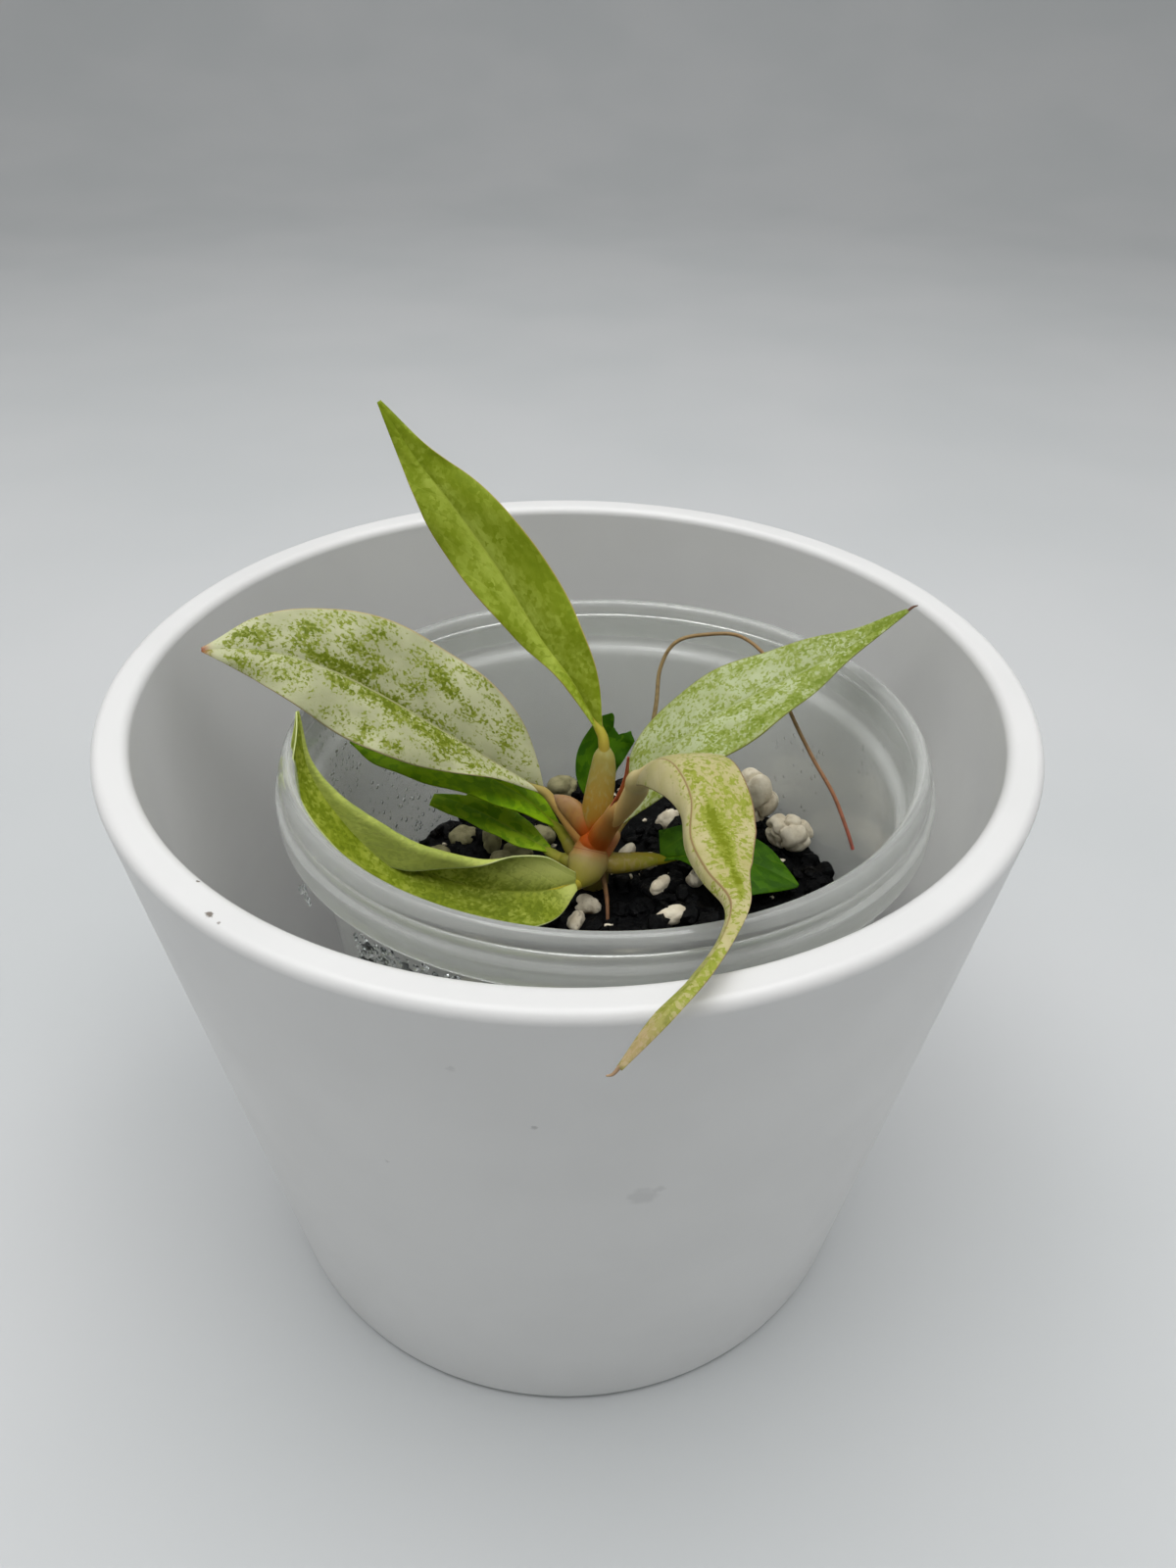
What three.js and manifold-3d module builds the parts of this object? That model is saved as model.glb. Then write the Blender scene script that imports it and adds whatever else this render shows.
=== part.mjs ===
// Potted philodendron with slim cream and green leaves, in a clear cup inside a white pot.
// Millimetres, +Z up. The origin is the centre of the pot's flat underside.
import * as THREE from 'three';
import { mergeVertices } from 'three/addons/utils/BufferGeometryUtils.js';
import Module from 'manifold-3d';

const wasm = await Module();
wasm.setup();

// Driving dimensions of the outer pot
const POT_RIM_RADIUS = 80;
const POT_FOOT_RADIUS = 63.4;
const POT_HEIGHT = 126;
const POT_WALL = 6;
const POT_FLOOR = 5.8;
const POT_RIM_ROUND = 1.8;
const POT_FOOT_ROUND = 2.5;
const POT_INNER_FILLET = 18;

// Driving dimensions of the clear cup, measured down from its rim along its own axis
const CUP_RIM_RADIUS = 58.5;
const CUP_MOUTH_RADIUS = 54.5;
const CUP_BODY_RADIUS = 52.5;
const CUP_FOOT_RADIUS = 43.4;
const CUP_HEIGHT = 108;
const CUP_WALL = 0.9;
const CUP_SKIRT = 9.5;
const CUP_SHOULDER = 11;
const CUP_LIP_DEPTH = 3.4;
const CUP_FOOT_ROUND = 1.6;
const CUP_RIM_CENTRE = new THREE.Vector3(6.2, -1.7, 116.2);
const CUP_LEAN_BACK = 2.8;
const CUP_LEAN_SIDE = 0.7;

// Driving dimensions of the growing medium inside the cup
const SOIL_DEPTH = 43;
const SOIL_RISE_TO_RIGHT = 0.04;
const SOIL_RISE_TO_BACK = 0.03;
const SOIL_LUMPS = 90;
const SOIL_LUMP_RADIUS = 5;
const SOIL_LUMP_HEIGHT = 3;
const SOIL_EDGE_SINK = 1.5;
const SOIL_RINGS = 9;

// Shape of the pale lumps: a shrunken sphere with swellings, and how far the big ones stand up
const LUMP_CORE = 0.82;
const LUMP_SWELL = 0.24;
const LUMP_SWELLINGS = 7;
const LUMP_SWELL_START = 0.55;
const BIG_LUMP = 4.5;
const BIG_LUMP_RISE = 0.8;
const SMALL_LUMP_RISE = 0.45;

// Shared by all pieces
const GAP = 0.3;
const BLADE_THICKNESS = 0.7;
const MIDRIB_DEPTH = 0.5;
const ROUND_SIDES = 40;
const BLADE_ROWS = 12;
const BLADE_COLUMNS = 3;
const RIPPLES_ALONG = 22;
const RIPPLE_SHIFT = 2;
const TUBE_SIDES = 7;
const TUBE_STEPS = 2;
const SEED = 20;

const DEG = Math.PI / 180;

function v3(p) {
  return new THREE.Vector3(p[0], p[1], p[2]);
}

// A repeatable row of random numbers from 0 to 1
function makeRandom(seed) {
  let state = seed;
  return () => {
    state = (state * 1664525 + 1013904223) % 4294967296;
    return state / 4294967296;
  };
}

function material(colour, roughness, metalness = 0) {
  return new THREE.MeshStandardMaterial({ color: colour, roughness, metalness });
}

// A smooth value at t, from 0 to 1, through evenly spaced numbers or points
function smooth(list, t) {
  const last = list.length - 1;
  const along = Math.min(Math.max(t, 0), 1) * last;
  const i = Math.min(Math.floor(along), last - 1);
  const f = along - i;
  const pick = (k, axis) => (axis === null ? list[k] : list[k][axis]);
  const value = (axis) => {
    const b = pick(i, axis);
    const c = pick(i + 1, axis);
    const a = i > 0 ? pick(i - 1, axis) : 2 * b - c;
    const d = i + 2 <= last ? pick(i + 2, axis) : 2 * c - b;
    const cubic = -a + 3 * b - 3 * c + d;
    return 0.5 * (2 * b + (c - a) * f + (2 * a - 5 * b + 4 * c - d) * f * f + cubic * f ** 3);
  };
  return Array.isArray(list[0]) ? new THREE.Vector3(value(0), value(1), value(2)) : value(null);
}

function signedVolume(positions, triangles) {
  const p = triangles.map((i) => v3(positions[i]));
  let volume = 0;
  for (let i = 0; i < p.length; i += 3) {
    volume += p[i].dot(p[i + 1].clone().cross(p[i + 2])) / 6;
  }
  return volume;
}

// A closed body from points and triangles, turned so that its faces point out
function closedBody(positions, triangles) {
  const facing = signedVolume(positions, triangles) > 0 ? triangles : triangles.slice().reverse();
  const geometry = new THREE.BufferGeometry();
  geometry.setAttribute('position', new THREE.Float32BufferAttribute(positions.flat(), 3));
  geometry.setIndex(facing);
  return geometry;
}

function toSolid(geometry) {
  const bare = geometry.clone();
  bare.deleteAttribute('normal');
  bare.deleteAttribute('uv');
  const merged = mergeVertices(bare, 1e-5);
  return new wasm.Manifold(new wasm.Mesh({
    numProp: 3,
    vertProperties: new Float32Array(merged.attributes.position.array),
    triVerts: new Uint32Array(merged.index.array),
  }));
}

function fromSolid(solid) {
  const mesh = solid.getMesh();
  const geometry = new THREE.BufferGeometry();
  const corners = new Float32Array(mesh.vertProperties);
  geometry.setAttribute('position', new THREE.BufferAttribute(corners, 3));
  geometry.setIndex(new THREE.BufferAttribute(new Uint32Array(mesh.triVerts), 1));
  return geometry;
}

// The largest outer skin of a solid, with sealed hollows filled and loose scraps dropped
function mainBody(solid) {
  return solid.decompose().reduce((best, shell) => (shell.volume() > best.volume() ? shell : best));
}

// A round tube through the points, as thick at each as its radius says, with flat ends
function taperedTube(points, radii, sides = TUBE_SIDES, stepsPerSpan = TUBE_STEPS) {
  const steps = (points.length - 1) * stepsPerSpan;
  const positions = [];
  const triangles = [];
  let side = null;
  for (let i = 0; i <= steps; i += 1) {
    const t = i / steps;
    const centre = smooth(points, t);
    const ahead = smooth(points, Math.min(t + 0.01, 1)).sub(smooth(points, Math.max(t - 0.01, 0)));
    ahead.normalize();
    const start = side ?? (Math.abs(ahead.x) < 0.8 ? v3([1, 0, 0]) : v3([0, 1, 0]));
    side = start.clone().addScaledVector(ahead, -start.dot(ahead)).normalize();
    const other = ahead.clone().cross(side);
    const radius = smooth(radii, t);
    for (let k = 0; k < sides; k += 1) {
      const angle = (2 * Math.PI * k) / sides;
      const p = centre.clone();
      p.addScaledVector(side, radius * Math.cos(angle));
      p.addScaledVector(other, radius * Math.sin(angle));
      positions.push([p.x, p.y, p.z]);
    }
  }
  for (let i = 0; i < steps; i += 1) {
    for (let k = 0; k < sides; k += 1) {
      const a = i * sides + k;
      const b = i * sides + ((k + 1) % sides);
      triangles.push(a, b, a + sides, b, b + sides, a + sides);
    }
  }
  for (let k = 1; k < sides - 1; k += 1) {
    const end = steps * sides;
    triangles.push(0, k + 1, k, end, end + k, end + k + 1);
  }
  return closedBody(positions, triangles);
}

// Leaves. Each has a midrib through points from its base to its tip, and lists that run the same
// way: half widths, the angle at which each half leaves the midrib (lift) and how far it goes on
// bending to its edge (curl). Across points to the right half, seen on the upper face with the tip
// ahead. Reach shortens single columns, from the left edge to the right, where the end is torn.
const LEAVES = {
  leaf_upright: {
    colour: 0x8fb545,
    petiole: [[6, 10, 97.9], [6.3, 12, 101.7], [6, 13.6, 103.8]],
    petioleRadii: [1.5, 1.3, 1.1],
    midrib: [[5.4, 14.8, 105.2], [0, 19, 113.5], [-6.5, 23, 121], [-14.5, 27.5, 133],
      [-23.5, 31, 145], [-30, 33.5, 153], [-36, 36, 162]],
    across: [0.76, 0.26, 0.47],
    left: {
      width: [0.8, 1.8, 2.6, 4.6, 6.6, 6.4, 4.4, 2.2, 0.4],
      lift: [50, 20, 12],
      curl: [-15, -15],
    },
    right: {
      width: [0.8, 4.6, 7.3, 8.8, 8.5, 7.2, 4.6, 2.4, 0.4],
      lift: [30, 14, 10],
      curl: [-15, -20],
    },
    wave: 0.5,
  },
  leaf_left: {
    colour: 0xd3d6bd,
    petiole: [[-0.5, 8.6, 89.4], [-3, 10, 91.4], [-4.6, 10.6, 92.4]],
    petioleRadii: [1.3, 1.2, 1.1],
    midrib: [[-6, 11, 93.2], [-16, 10, 101], [-26, 8.5, 109.5], [-35, 7, 117],
      [-44.5, 5, 124], [-54.5, 3, 128.5], [-64.5, 1, 129.5]],
    across: [0.17, 0.6, 0.45],
    left: {
      width: [0.8, 3, 6.8, 9.8, 10.8, 9.8, 7.8, 4.6, 0.4],
      lift: [25, 20, 10, 5],
      curl: [-25, -25],
    },
    right: {
      width: [0.8, 9.6, 12.8, 14, 13.8, 12.4, 9.4, 5.1, 0.4],
      lift: [40, 30, 25, 15],
      curl: [-35, -35],
    },
    wave: 0.6,
  },
  leaf_right: {
    colour: 0xc2d19b,
    petiole: [[8.2, 6, 86.2], [9, 6.2, 87.2], [9.6, 6.2, 88]],
    petioleRadii: [1.2, 1.1, 1],
    midrib: [[10.2, 6.4, 89], [16.5, 9, 100.5], [24, 11, 108.5], [33.5, 13, 114],
      [44, 15, 119], [54, 17, 124.5], [63.5, 19, 131]],
    across: [0.36, -0.86, -0.25],
    left: {
      width: [0.8, 5.9, 8.2, 8.6, 8.8, 7.6, 5.2, 2.6, 0.4],
      lift: [20, 20],
      curl: [-20, -20],
    },
    right: {
      width: [0.8, 5.6, 8.6, 9.2, 8.8, 6.2, 3.2, 1.5, 0.4],
      lift: [15, 15],
      curl: [-20, -20],
    },
    wave: 0.5,
  },
  leaf_drooping: {
    colour: 0xc9c793,
    petiole: [[9.3, -1, 97], [10.4, -3, 101.6], [11.2, -5.4, 106]],
    petioleRadii: [1.4, 2, 2.3],
    midrib: [[11.6, -8.5, 110.5], [14.5, -18, 121], [17, -26, 125.5], [19, -35, 126], [18.5, -44, 125.5],
      [20, -53, 127], [22.5, -61, 128.5], [21, -68.5, 129.5], [17.5, -76, 130], [13, -82.5, 130],
      [7.5, -88.5, 127]],
    across: [-1, 0, 0],
    left: {
      width: [1, 7, 9, 9.2, 9.6, 6.8, 2.8, 1.6, 1.3, 1.2, 0.4],
      lift: [20, 10],
      curl: [-30, -30],
    },
    right: {
      width: [3, 4.8, 5.2, 4.4, 3.2, 2.4, 1.8, 1.2, 1.8, 1.6, 0.4],
      lift: [-70, -85, -60, -50, -40],
      curl: [-20, 0],
    },
    wave: 0.2,
  },
  leaf_curled: {
    colour: 0x9fae52,
    petiole: [[2.4, 0.6, 79.6], [1.4, -1, 78.9], [0, -2.6, 79]],
    petioleRadii: [1.3, 1.2, 1.1],
    midrib: [[-1.2, -3.8, 79.3], [-7.5, -8.5, 81.5], [-18.5, -12.5, 87], [-29.5, -13.5, 94],
      [-39, -12, 103], [-45, -8.6, 112], [-47.5, -5, 121]],
    across: [0.15, 0.8, 0.6],
    left: {
      width: [1.5, 6, 8, 8, 7, 5.5, 4, 2, 0.4],
      lift: [10, 10],
      curl: [10, 20],
    },
    right: {
      width: [3.2, 7.4, 8.8, 9.6, 9.2, 7, 4, 1.8, 0.4],
      lift: [20, 20],
      curl: [10, 50, 110, 130, 110, 60],
    },
    wave: 0.3,
  },
  leaf_low_left: {
    colour: 0x4f8a2c,
    petiole: [[0.4, 8, 83.4], [-1.4, 8.8, 85], [-2.6, 9.4, 86]],
    petioleRadii: [1.1, 1, 0.9],
    midrib: [[-4, 10, 87], [-10, 12.5, 90.5], [-18.5, 13.5, 95], [-29, 12.5, 99],
      [-37, 11.5, 101.5], [-43, 11, 104]],
    across: [0.2, 1, 0.25],
    left: {
      width: [0.8, 3.5, 5.4, 6, 5.4, 3.6, 0.4],
      lift: [10, 10],
      curl: [-10, -10],
    },
    right: {
      width: [0.8, 4, 6, 6.6, 6, 4, 0.4],
      lift: [15, 15],
      curl: [-20, -20],
    },
    wave: 0.3,
  },
  leaf_notched: {
    colour: 0x5f9433,
    petiole: [[0.8, 5.4, 78.6], [-1.4, 7, 78.9], [-3, 7.8, 79.3]],
    petioleRadii: [1.1, 1, 0.9],
    midrib: [[-4.4, 8.5, 79.8], [-9, 10.4, 81.4], [-14.5, 12.4, 83.6], [-21, 14.4, 86], [-28.2, 15.8, 88]],
    across: [0.2, 1, 0.3],
    left: {
      width: [0.8, 3, 3.6, 3.6, 2.6],
      lift: [10, 10],
      curl: [-10, -10],
    },
    right: {
      width: [0.8, 3, 4.4, 4.8, 4.6],
      lift: [10, 10],
      curl: [-10, -10],
    },
    reach: [1, 1, 1, 1, 0.8, 0.78, 0.97],
    wave: 0.2,
  },
  leaf_back: {
    colour: 0x3f7d22,
    petiole: [[4.7, 10.6, 83], [4.7, 12.4, 84.6], [4.7, 13.4, 86]],
    petioleRadii: [1.1, 1, 0.9],
    midrib: [[4.7, 14.4, 87.6], [4.6, 16.6, 91], [5, 19.6, 95], [7.5, 22.4, 99.4], [10, 24, 102.4]],
    across: [0.9, -0.1, -0.3],
    left: {
      width: [0.8, 3.4, 4.2, 3.8, 3],
      lift: [12, 12],
      curl: [-10, -10],
    },
    right: {
      width: [0.8, 3.6, 5, 5.4, 4.8],
      lift: [12, 12],
      curl: [-10, -10],
    },
    reach: [0.84, 0.97, 0.93, 0.84, 0.8, 0.94, 0.86],
    wave: 0.3,
  },
  leaf_low_right: {
    colour: 0x4c8b2b,
    petiole: [[12.2, 5, 80.1], [14.6, 5.6, 79.6], [16.4, 6.2, 79.4]],
    petioleRadii: [1.2, 1.1, 1],
    midrib: [[18.4, 6.8, 79.4], [24, 6.3, 80.6], [30, 5.5, 81.3], [37.5, 3.5, 80.8], [45.4, -0.6, 79]],
    across: [0, -1, -0.3],
    left: {
      width: [6, 6.4, 8, 8, 6.2, 4, 0.4],
      lift: [30, 12, 8],
      curl: [-15, -15],
    },
    right: {
      width: [0.8, 0.9, 4, 8.8, 9.2, 6.6, 0.4],
      lift: [12, 8],
      curl: [-20, -20],
    },
    wave: 0.3,
  },
};

// The short stem and the sheaths that the leaf stalks grow out of
const STEM = {
  points: [[4.6, 9.6, 52], [4.6, 9, 64], [4.4, 7.8, 76], [4.2, 5.8, 85]],
  radii: [2.8, 3.2, 3.6, 3.6],
};
const SHEATHS = [
  {
    points: [[4.2, 6.2, 84], [5.2, 8.2, 92.5], [6, 10.2, 98.2], [6.2, 11.6, 101]],
    radii: [3.6, 3, 2.6, 2.1],
  },
  {
    points: [[3, 6.4, 84.4], [0.8, 7.8, 87.8], [-1.6, 9.2, 90.3], [-3.2, 10.1, 91.6]],
    radii: [3, 2.7, 2.5, 1.8],
  },
  {
    points: [[5.4, 4.8, 84.6], [7.4, 2, 90.4], [9, -0.4, 95.6], [9.8, -1.6, 98.6]],
    radii: [3, 2.7, 2.5, 2.3],
  },
  {
    points: [[8.2, 1.4, 95.4], [8.9, 0.8, 100.4], [10.4, -1.2, 108]],
    radii: [1.5, 0.8, 0.45],
  },
  {
    points: [[6.4, 5.4, 83], [7.6, 5.8, 85.4], [8.8, 6.1, 87]],
    radii: [2.4, 2, 1.8],
  },
  {
    points: [[4.2, 4.6, 83.4], [3.6, 2, 81], [2.4, 0.6, 79.6], [1.8, -0.4, 79.1]],
    radii: [4.2, 3.6, 2.6, 1.9],
  },
  {
    points: [[6, 4.6, 81.4], [9, 4.6, 80.6], [12, 5, 80.1], [13.4, 5.3, 79.8]],
    radii: [2.4, 2.3, 1.9, 1.7],
  },
  {
    points: [[3, 7.4, 81.6], [1, 7.8, 82.8], [-0.6, 8.4, 84.2]],
    radii: [2, 1.8, 1.6],
  },
  {
    points: [[3.4, 5.6, 78.4], [1.2, 5.2, 78.4], [-0.2, 6.1, 78.7]],
    radii: [2, 1.8, 1.6],
  },
  {
    points: [[4.6, 8, 81], [4.7, 10, 82.6], [4.7, 11.6, 83.9]],
    radii: [2, 1.8, 1.6],
  },
];

// Two bare roots: one loops over the back of the cup and down to its right, one dips into the soil
const ROOTS = {
  aerial_root: {
    colour: 0x8a6a3c,
    points: [[7.6, 9, 82], [11, 15.5, 83.5], [14.7, 23, 88], [17.3, 32, 99.5], [18.2, 37.5, 106],
      [21.4, 40, 111], [28, 41, 112.4], [35, 39, 113], [40.4, 30, 111.6], [43, 18, 107.9],
      [46.8, 10, 102.8], [50.7, 5, 97.8], [53.4, 1, 92.4], [54.8, -1, 88.9]],
    radii: [1, 0.8, 0.7, 0.65, 0.65, 0.65, 0.65, 0.6, 0.6, 0.6, 0.6, 0.6, 0.6, 0.55],
  },
  soil_root: {
    colour: 0x9c7a4a,
    points: [[6.6, 4.6, 77], [7.2, 1.4, 75.8], [7.6, -2, 75], [7.8, -6, 71.6]],
    radii: [0.7, 0.6, 0.5, 0.45],
  },
};

// Pale lumps half sunk in the soil: place seen from above, half sizes and turn about the vertical
const PERLITE = [
  { x: 39.4, y: 26.6, size: [4.6, 4.6, 5.8], turn: 10 },
  { x: 46.6, y: 17.6, size: [4.6, 3.8, 4], turn: 15 },
  { x: -3.2, y: 37.5, size: [4, 3.4, 3.2], turn: 0 },
  { x: 11.8, y: 15.5, size: [3.2, 1.7, 2], turn: 55 },
  { x: 20.4, y: 26.5, size: [2.4, 2.2, 2.4], turn: 30 },
  { x: 16.4, y: 12.6, size: [2.8, 1.8, 1.8], turn: 20 },
  { x: 17.8, y: 2, size: [2.6, 1.7, 1.6], turn: 60 },
  { x: 25.6, y: 5.4, size: [2, 2, 2.1], turn: 0 },
  { x: 20.2, y: -6, size: [3.2, 1.9, 2], turn: 20 },
  { x: 4, y: -0.4, size: [2.6, 2, 2.2], turn: 0 },
  { x: 1.4, y: -5, size: [1.7, 2.6, 1.8], turn: 160 },
  { x: -11.2, y: 12.3, size: [4.8, 3.4, 3], turn: 5 },
  { x: -6.4, y: 21.3, size: [3.2, 2.8, 2.8], turn: 40 },
  { x: -16.8, y: 18.6, size: [3.2, 2.6, 2.8], turn: 70 },
  { x: -23, y: 21.6, size: [3.4, 3, 3], turn: 0 },
  { x: -29, y: 16.4, size: [3, 2.8, 2.6], turn: 25 },
  { x: 12, y: 33, size: [3, 2.4, 2.6], turn: 80 },
  { x: -22, y: 32, size: [2.6, 2.2, 2.4], turn: 10 },
  { x: 34, y: -18, size: [2.6, 2, 2.2], turn: 35 },
  { x: 12, y: -30, size: [3, 2.4, 2.4], turn: 65 },
  { x: -18, y: -26, size: [2.6, 2.2, 2.2], turn: 15 },
  { x: 28, y: 18, size: [2.4, 2, 2.2], turn: 55 },
];

// The cup leans back and a little sideways, because its foot rides up the pot's round floor edge
function cupFrame() {
  const up = v3([-Math.tan(CUP_LEAN_SIDE * DEG), Math.tan(CUP_LEAN_BACK * DEG), 1]).normalize();
  const right = new THREE.Vector3(0, 1, 0).cross(up).normalize();
  const back = up.clone().cross(right);
  return new THREE.Matrix4().makeBasis(right, back, up).setPosition(CUP_RIM_CENTRE);
}
const CUP_FRAME = cupFrame();
const CUP_FRAME_BACK = CUP_FRAME.clone().invert();

function lathe(profile) {
  const geometry = new THREE.LatheGeometry(profile, ROUND_SIDES);
  geometry.rotateX(Math.PI / 2);
  return geometry;
}

// Points along an arc of a profile, angles in degrees from the outward direction
function arc(centreRadius, centreHeight, radius, from, to, steps) {
  const points = [];
  for (let i = 0; i <= steps; i += 1) {
    const angle = (from + ((to - from) * i) / steps) * DEG;
    points.push(new THREE.Vector2(
      centreRadius + radius * Math.cos(angle),
      centreHeight + radius * Math.sin(angle),
    ));
  }
  return points;
}

function potGeometry() {
  const innerRim = POT_RIM_RADIUS - POT_WALL;
  const slope = (POT_RIM_RADIUS - POT_FOOT_RADIUS) / POT_HEIGHT;
  const filletTop = POT_FLOOR + POT_INNER_FILLET;
  const filletRadius = innerRim - slope * (POT_HEIGHT - filletTop) - POT_INNER_FILLET;
  const rimTop = POT_HEIGHT - POT_RIM_ROUND;
  const foot = arc(POT_FOOT_RADIUS - POT_FOOT_ROUND, POT_FOOT_ROUND, POT_FOOT_ROUND, -90, 0, 2);
  const rimOut = arc(POT_RIM_RADIUS - POT_RIM_ROUND, rimTop, POT_RIM_ROUND, 0, 90, 2);
  const rimIn = arc(innerRim + POT_RIM_ROUND, rimTop, POT_RIM_ROUND, 90, 180, 2);
  const fillet = arc(filletRadius, filletTop, POT_INNER_FILLET, 0, -90, 4);
  const start = new THREE.Vector2(0, 0);
  const end = new THREE.Vector2(0, POT_FLOOR);
  return lathe([start, ...foot, ...rimOut, ...rimIn, ...fillet, end]);
}

function cupBodyRadius(depth) {
  const share = (depth - CUP_SHOULDER) / (CUP_HEIGHT - CUP_SHOULDER);
  return CUP_BODY_RADIUS + (CUP_FOOT_RADIUS - CUP_BODY_RADIUS) * share;
}

// The cup's wall in section, from the middle of its underside out, over the lip and down inside.
// Each pair is a radius and a depth below the rim.
function cupGeometry() {
  const outside = [
    [0, CUP_HEIGHT],
    [CUP_FOOT_RADIUS - CUP_FOOT_ROUND / 2, CUP_HEIGHT],
    [CUP_FOOT_RADIUS + CUP_WALL, CUP_HEIGHT - CUP_FOOT_ROUND],
    [CUP_BODY_RADIUS + CUP_WALL, CUP_SHOULDER + CUP_WALL],
    [CUP_MOUTH_RADIUS + 0.5, CUP_SHOULDER - 1],
    [CUP_MOUTH_RADIUS + 1.1, CUP_LIP_DEPTH],
  ];
  const lip = [
    [CUP_RIM_RADIUS - 1.5, CUP_LIP_DEPTH],
    [CUP_RIM_RADIUS - CUP_WALL, CUP_SKIRT],
    [CUP_RIM_RADIUS, CUP_SKIRT],
    [CUP_RIM_RADIUS, 5.4],
    [CUP_RIM_RADIUS - 0.9, 4.6],
    [CUP_RIM_RADIUS - 1, 1.6],
    [CUP_RIM_RADIUS - 1.9, 0.2],
    [CUP_MOUTH_RADIUS + 0.9, 0],
    [CUP_MOUTH_RADIUS, 0.9],
  ];
  const inside = [
    [CUP_MOUTH_RADIUS - 0.4, CUP_SHOULDER - 1.6],
    [CUP_BODY_RADIUS, CUP_SHOULDER],
    [CUP_FOOT_RADIUS, CUP_HEIGHT - CUP_WALL - CUP_FOOT_ROUND],
    [CUP_FOOT_RADIUS - 1.4, CUP_HEIGHT - CUP_WALL],
    [0, CUP_HEIGHT - CUP_WALL],
  ];
  const profile = [...outside, ...lip, ...inside].map(([r, depth]) => new THREE.Vector2(r, -depth));
  return lathe(profile).applyMatrix4(CUP_FRAME);
}

// Round clods scattered over the soil, each a low dome
function makeClods(random) {
  const clods = [];
  for (let i = 0; i < SOIL_LUMPS; i += 1) {
    const radius = Math.sqrt(random()) * CUP_BODY_RADIUS;
    const angle = random() * 2 * Math.PI;
    clods.push({
      x: radius * Math.cos(angle),
      y: radius * Math.sin(angle),
      radius: SOIL_LUMP_RADIUS * (0.6 + 0.6 * random()),
      height: SOIL_LUMP_HEIGHT * (0.4 + 0.6 * random()),
    });
  }
  return clods;
}
const CLODS = makeClods(makeRandom(SEED));

// Height of the soil in the cup's own frame
function soilHeight(x, y) {
  let lift = 0;
  for (const clod of CLODS) {
    const distance = Math.hypot(x - clod.x, y - clod.y) / clod.radius;
    if (distance < 1) {
      lift = Math.max(lift, clod.height * Math.sqrt(1 - distance * distance));
    }
  }
  return -SOIL_DEPTH - 1 + SOIL_RISE_TO_RIGHT * x + SOIL_RISE_TO_BACK * y + lift;
}

// Height of the soil under a point given in the part's own frame
function soilLevel(x, y) {
  const local = new THREE.Vector3(x, y, CUP_RIM_CENTRE.z - SOIL_DEPTH).applyMatrix4(CUP_FRAME_BACK);
  return local.setZ(soilHeight(local.x, local.y)).applyMatrix4(CUP_FRAME).z;
}

function soilGeometry() {
  const floor = -CUP_HEIGHT + CUP_WALL + GAP;
  const positions = [[0, 0, soilHeight(0, 0)]];
  const triangles = [];
  for (let ring = 1; ring <= SOIL_RINGS; ring += 1) {
    for (let k = 0; k < ROUND_SIDES; k += 1) {
      const angle = (2 * Math.PI * k) / ROUND_SIDES;
      const radius = ((cupBodyRadius(SOIL_DEPTH) - 3 * GAP) * ring) / SOIL_RINGS;
      const x = radius * Math.cos(angle);
      const y = radius * Math.sin(angle);
      const edgeSink = ring === SOIL_RINGS ? SOIL_EDGE_SINK : 0;
      positions.push([x, y, soilHeight(x, y) - edgeSink]);
    }
  }
  for (let k = 0; k < ROUND_SIDES; k += 1) {
    const angle = (2 * Math.PI * k) / ROUND_SIDES;
    const radius = CUP_FOOT_RADIUS - 2;
    positions.push([radius * Math.cos(angle), radius * Math.sin(angle), floor]);
  }
  positions.push([0, 0, floor]);
  const bottom = positions.length - 1;
  const at = (ring, k) => 1 + (ring - 1) * ROUND_SIDES + (k % ROUND_SIDES);
  for (let k = 0; k < ROUND_SIDES; k += 1) {
    triangles.push(0, at(1, k), at(1, k + 1));
    for (let ring = 1; ring <= SOIL_RINGS; ring += 1) {
      triangles.push(at(ring, k), at(ring + 1, k), at(ring, k + 1));
      triangles.push(at(ring, k + 1), at(ring + 1, k), at(ring + 1, k + 1));
    }
    triangles.push(bottom, at(SOIL_RINGS + 1, k + 1), at(SOIL_RINGS + 1, k));
  }
  return closedBody(positions, triangles).applyMatrix4(CUP_FRAME);
}

// One irregular lump of expanded rock: a sphere with a few soft swellings
function lumpGeometry(lump, random, extra) {
  const big = Math.max(...lump.size) > BIG_LUMP;
  const geometry = mergeVertices(bareSphere(big ? 2 : 1), 1e-5);
  const swellings = [];
  for (let i = 0; i < LUMP_SWELLINGS; i += 1) {
    const height = 2 * random() - 1;
    const angle = 2 * Math.PI * random();
    const flat = Math.sqrt(1 - height * height);
    swellings.push(new THREE.Vector3(flat * Math.cos(angle), flat * Math.sin(angle), height));
  }
  const place = geometry.attributes.position;
  const turn = lump.turn * DEG;
  const z = soilLevel(lump.x, lump.y) + (big ? BIG_LUMP_RISE : SMALL_LUMP_RISE) * lump.size[2];
  for (let i = 0; i < place.count; i += 1) {
    const p = new THREE.Vector3().fromBufferAttribute(place, i).normalize();
    let swell = LUMP_CORE;
    for (const s of swellings) {
      swell += (LUMP_SWELL * Math.max(0, p.dot(s) - LUMP_SWELL_START)) / (1 - LUMP_SWELL_START);
    }
    p.set(...p.toArray().map((value, axis) => value * (swell * lump.size[axis] + extra)));
    const x = lump.x + p.x * Math.cos(turn) - p.y * Math.sin(turn);
    const y = lump.y + p.x * Math.sin(turn) + p.y * Math.cos(turn);
    place.setXYZ(i, x, y, z + p.z);
  }
  return geometry;
}

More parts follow.
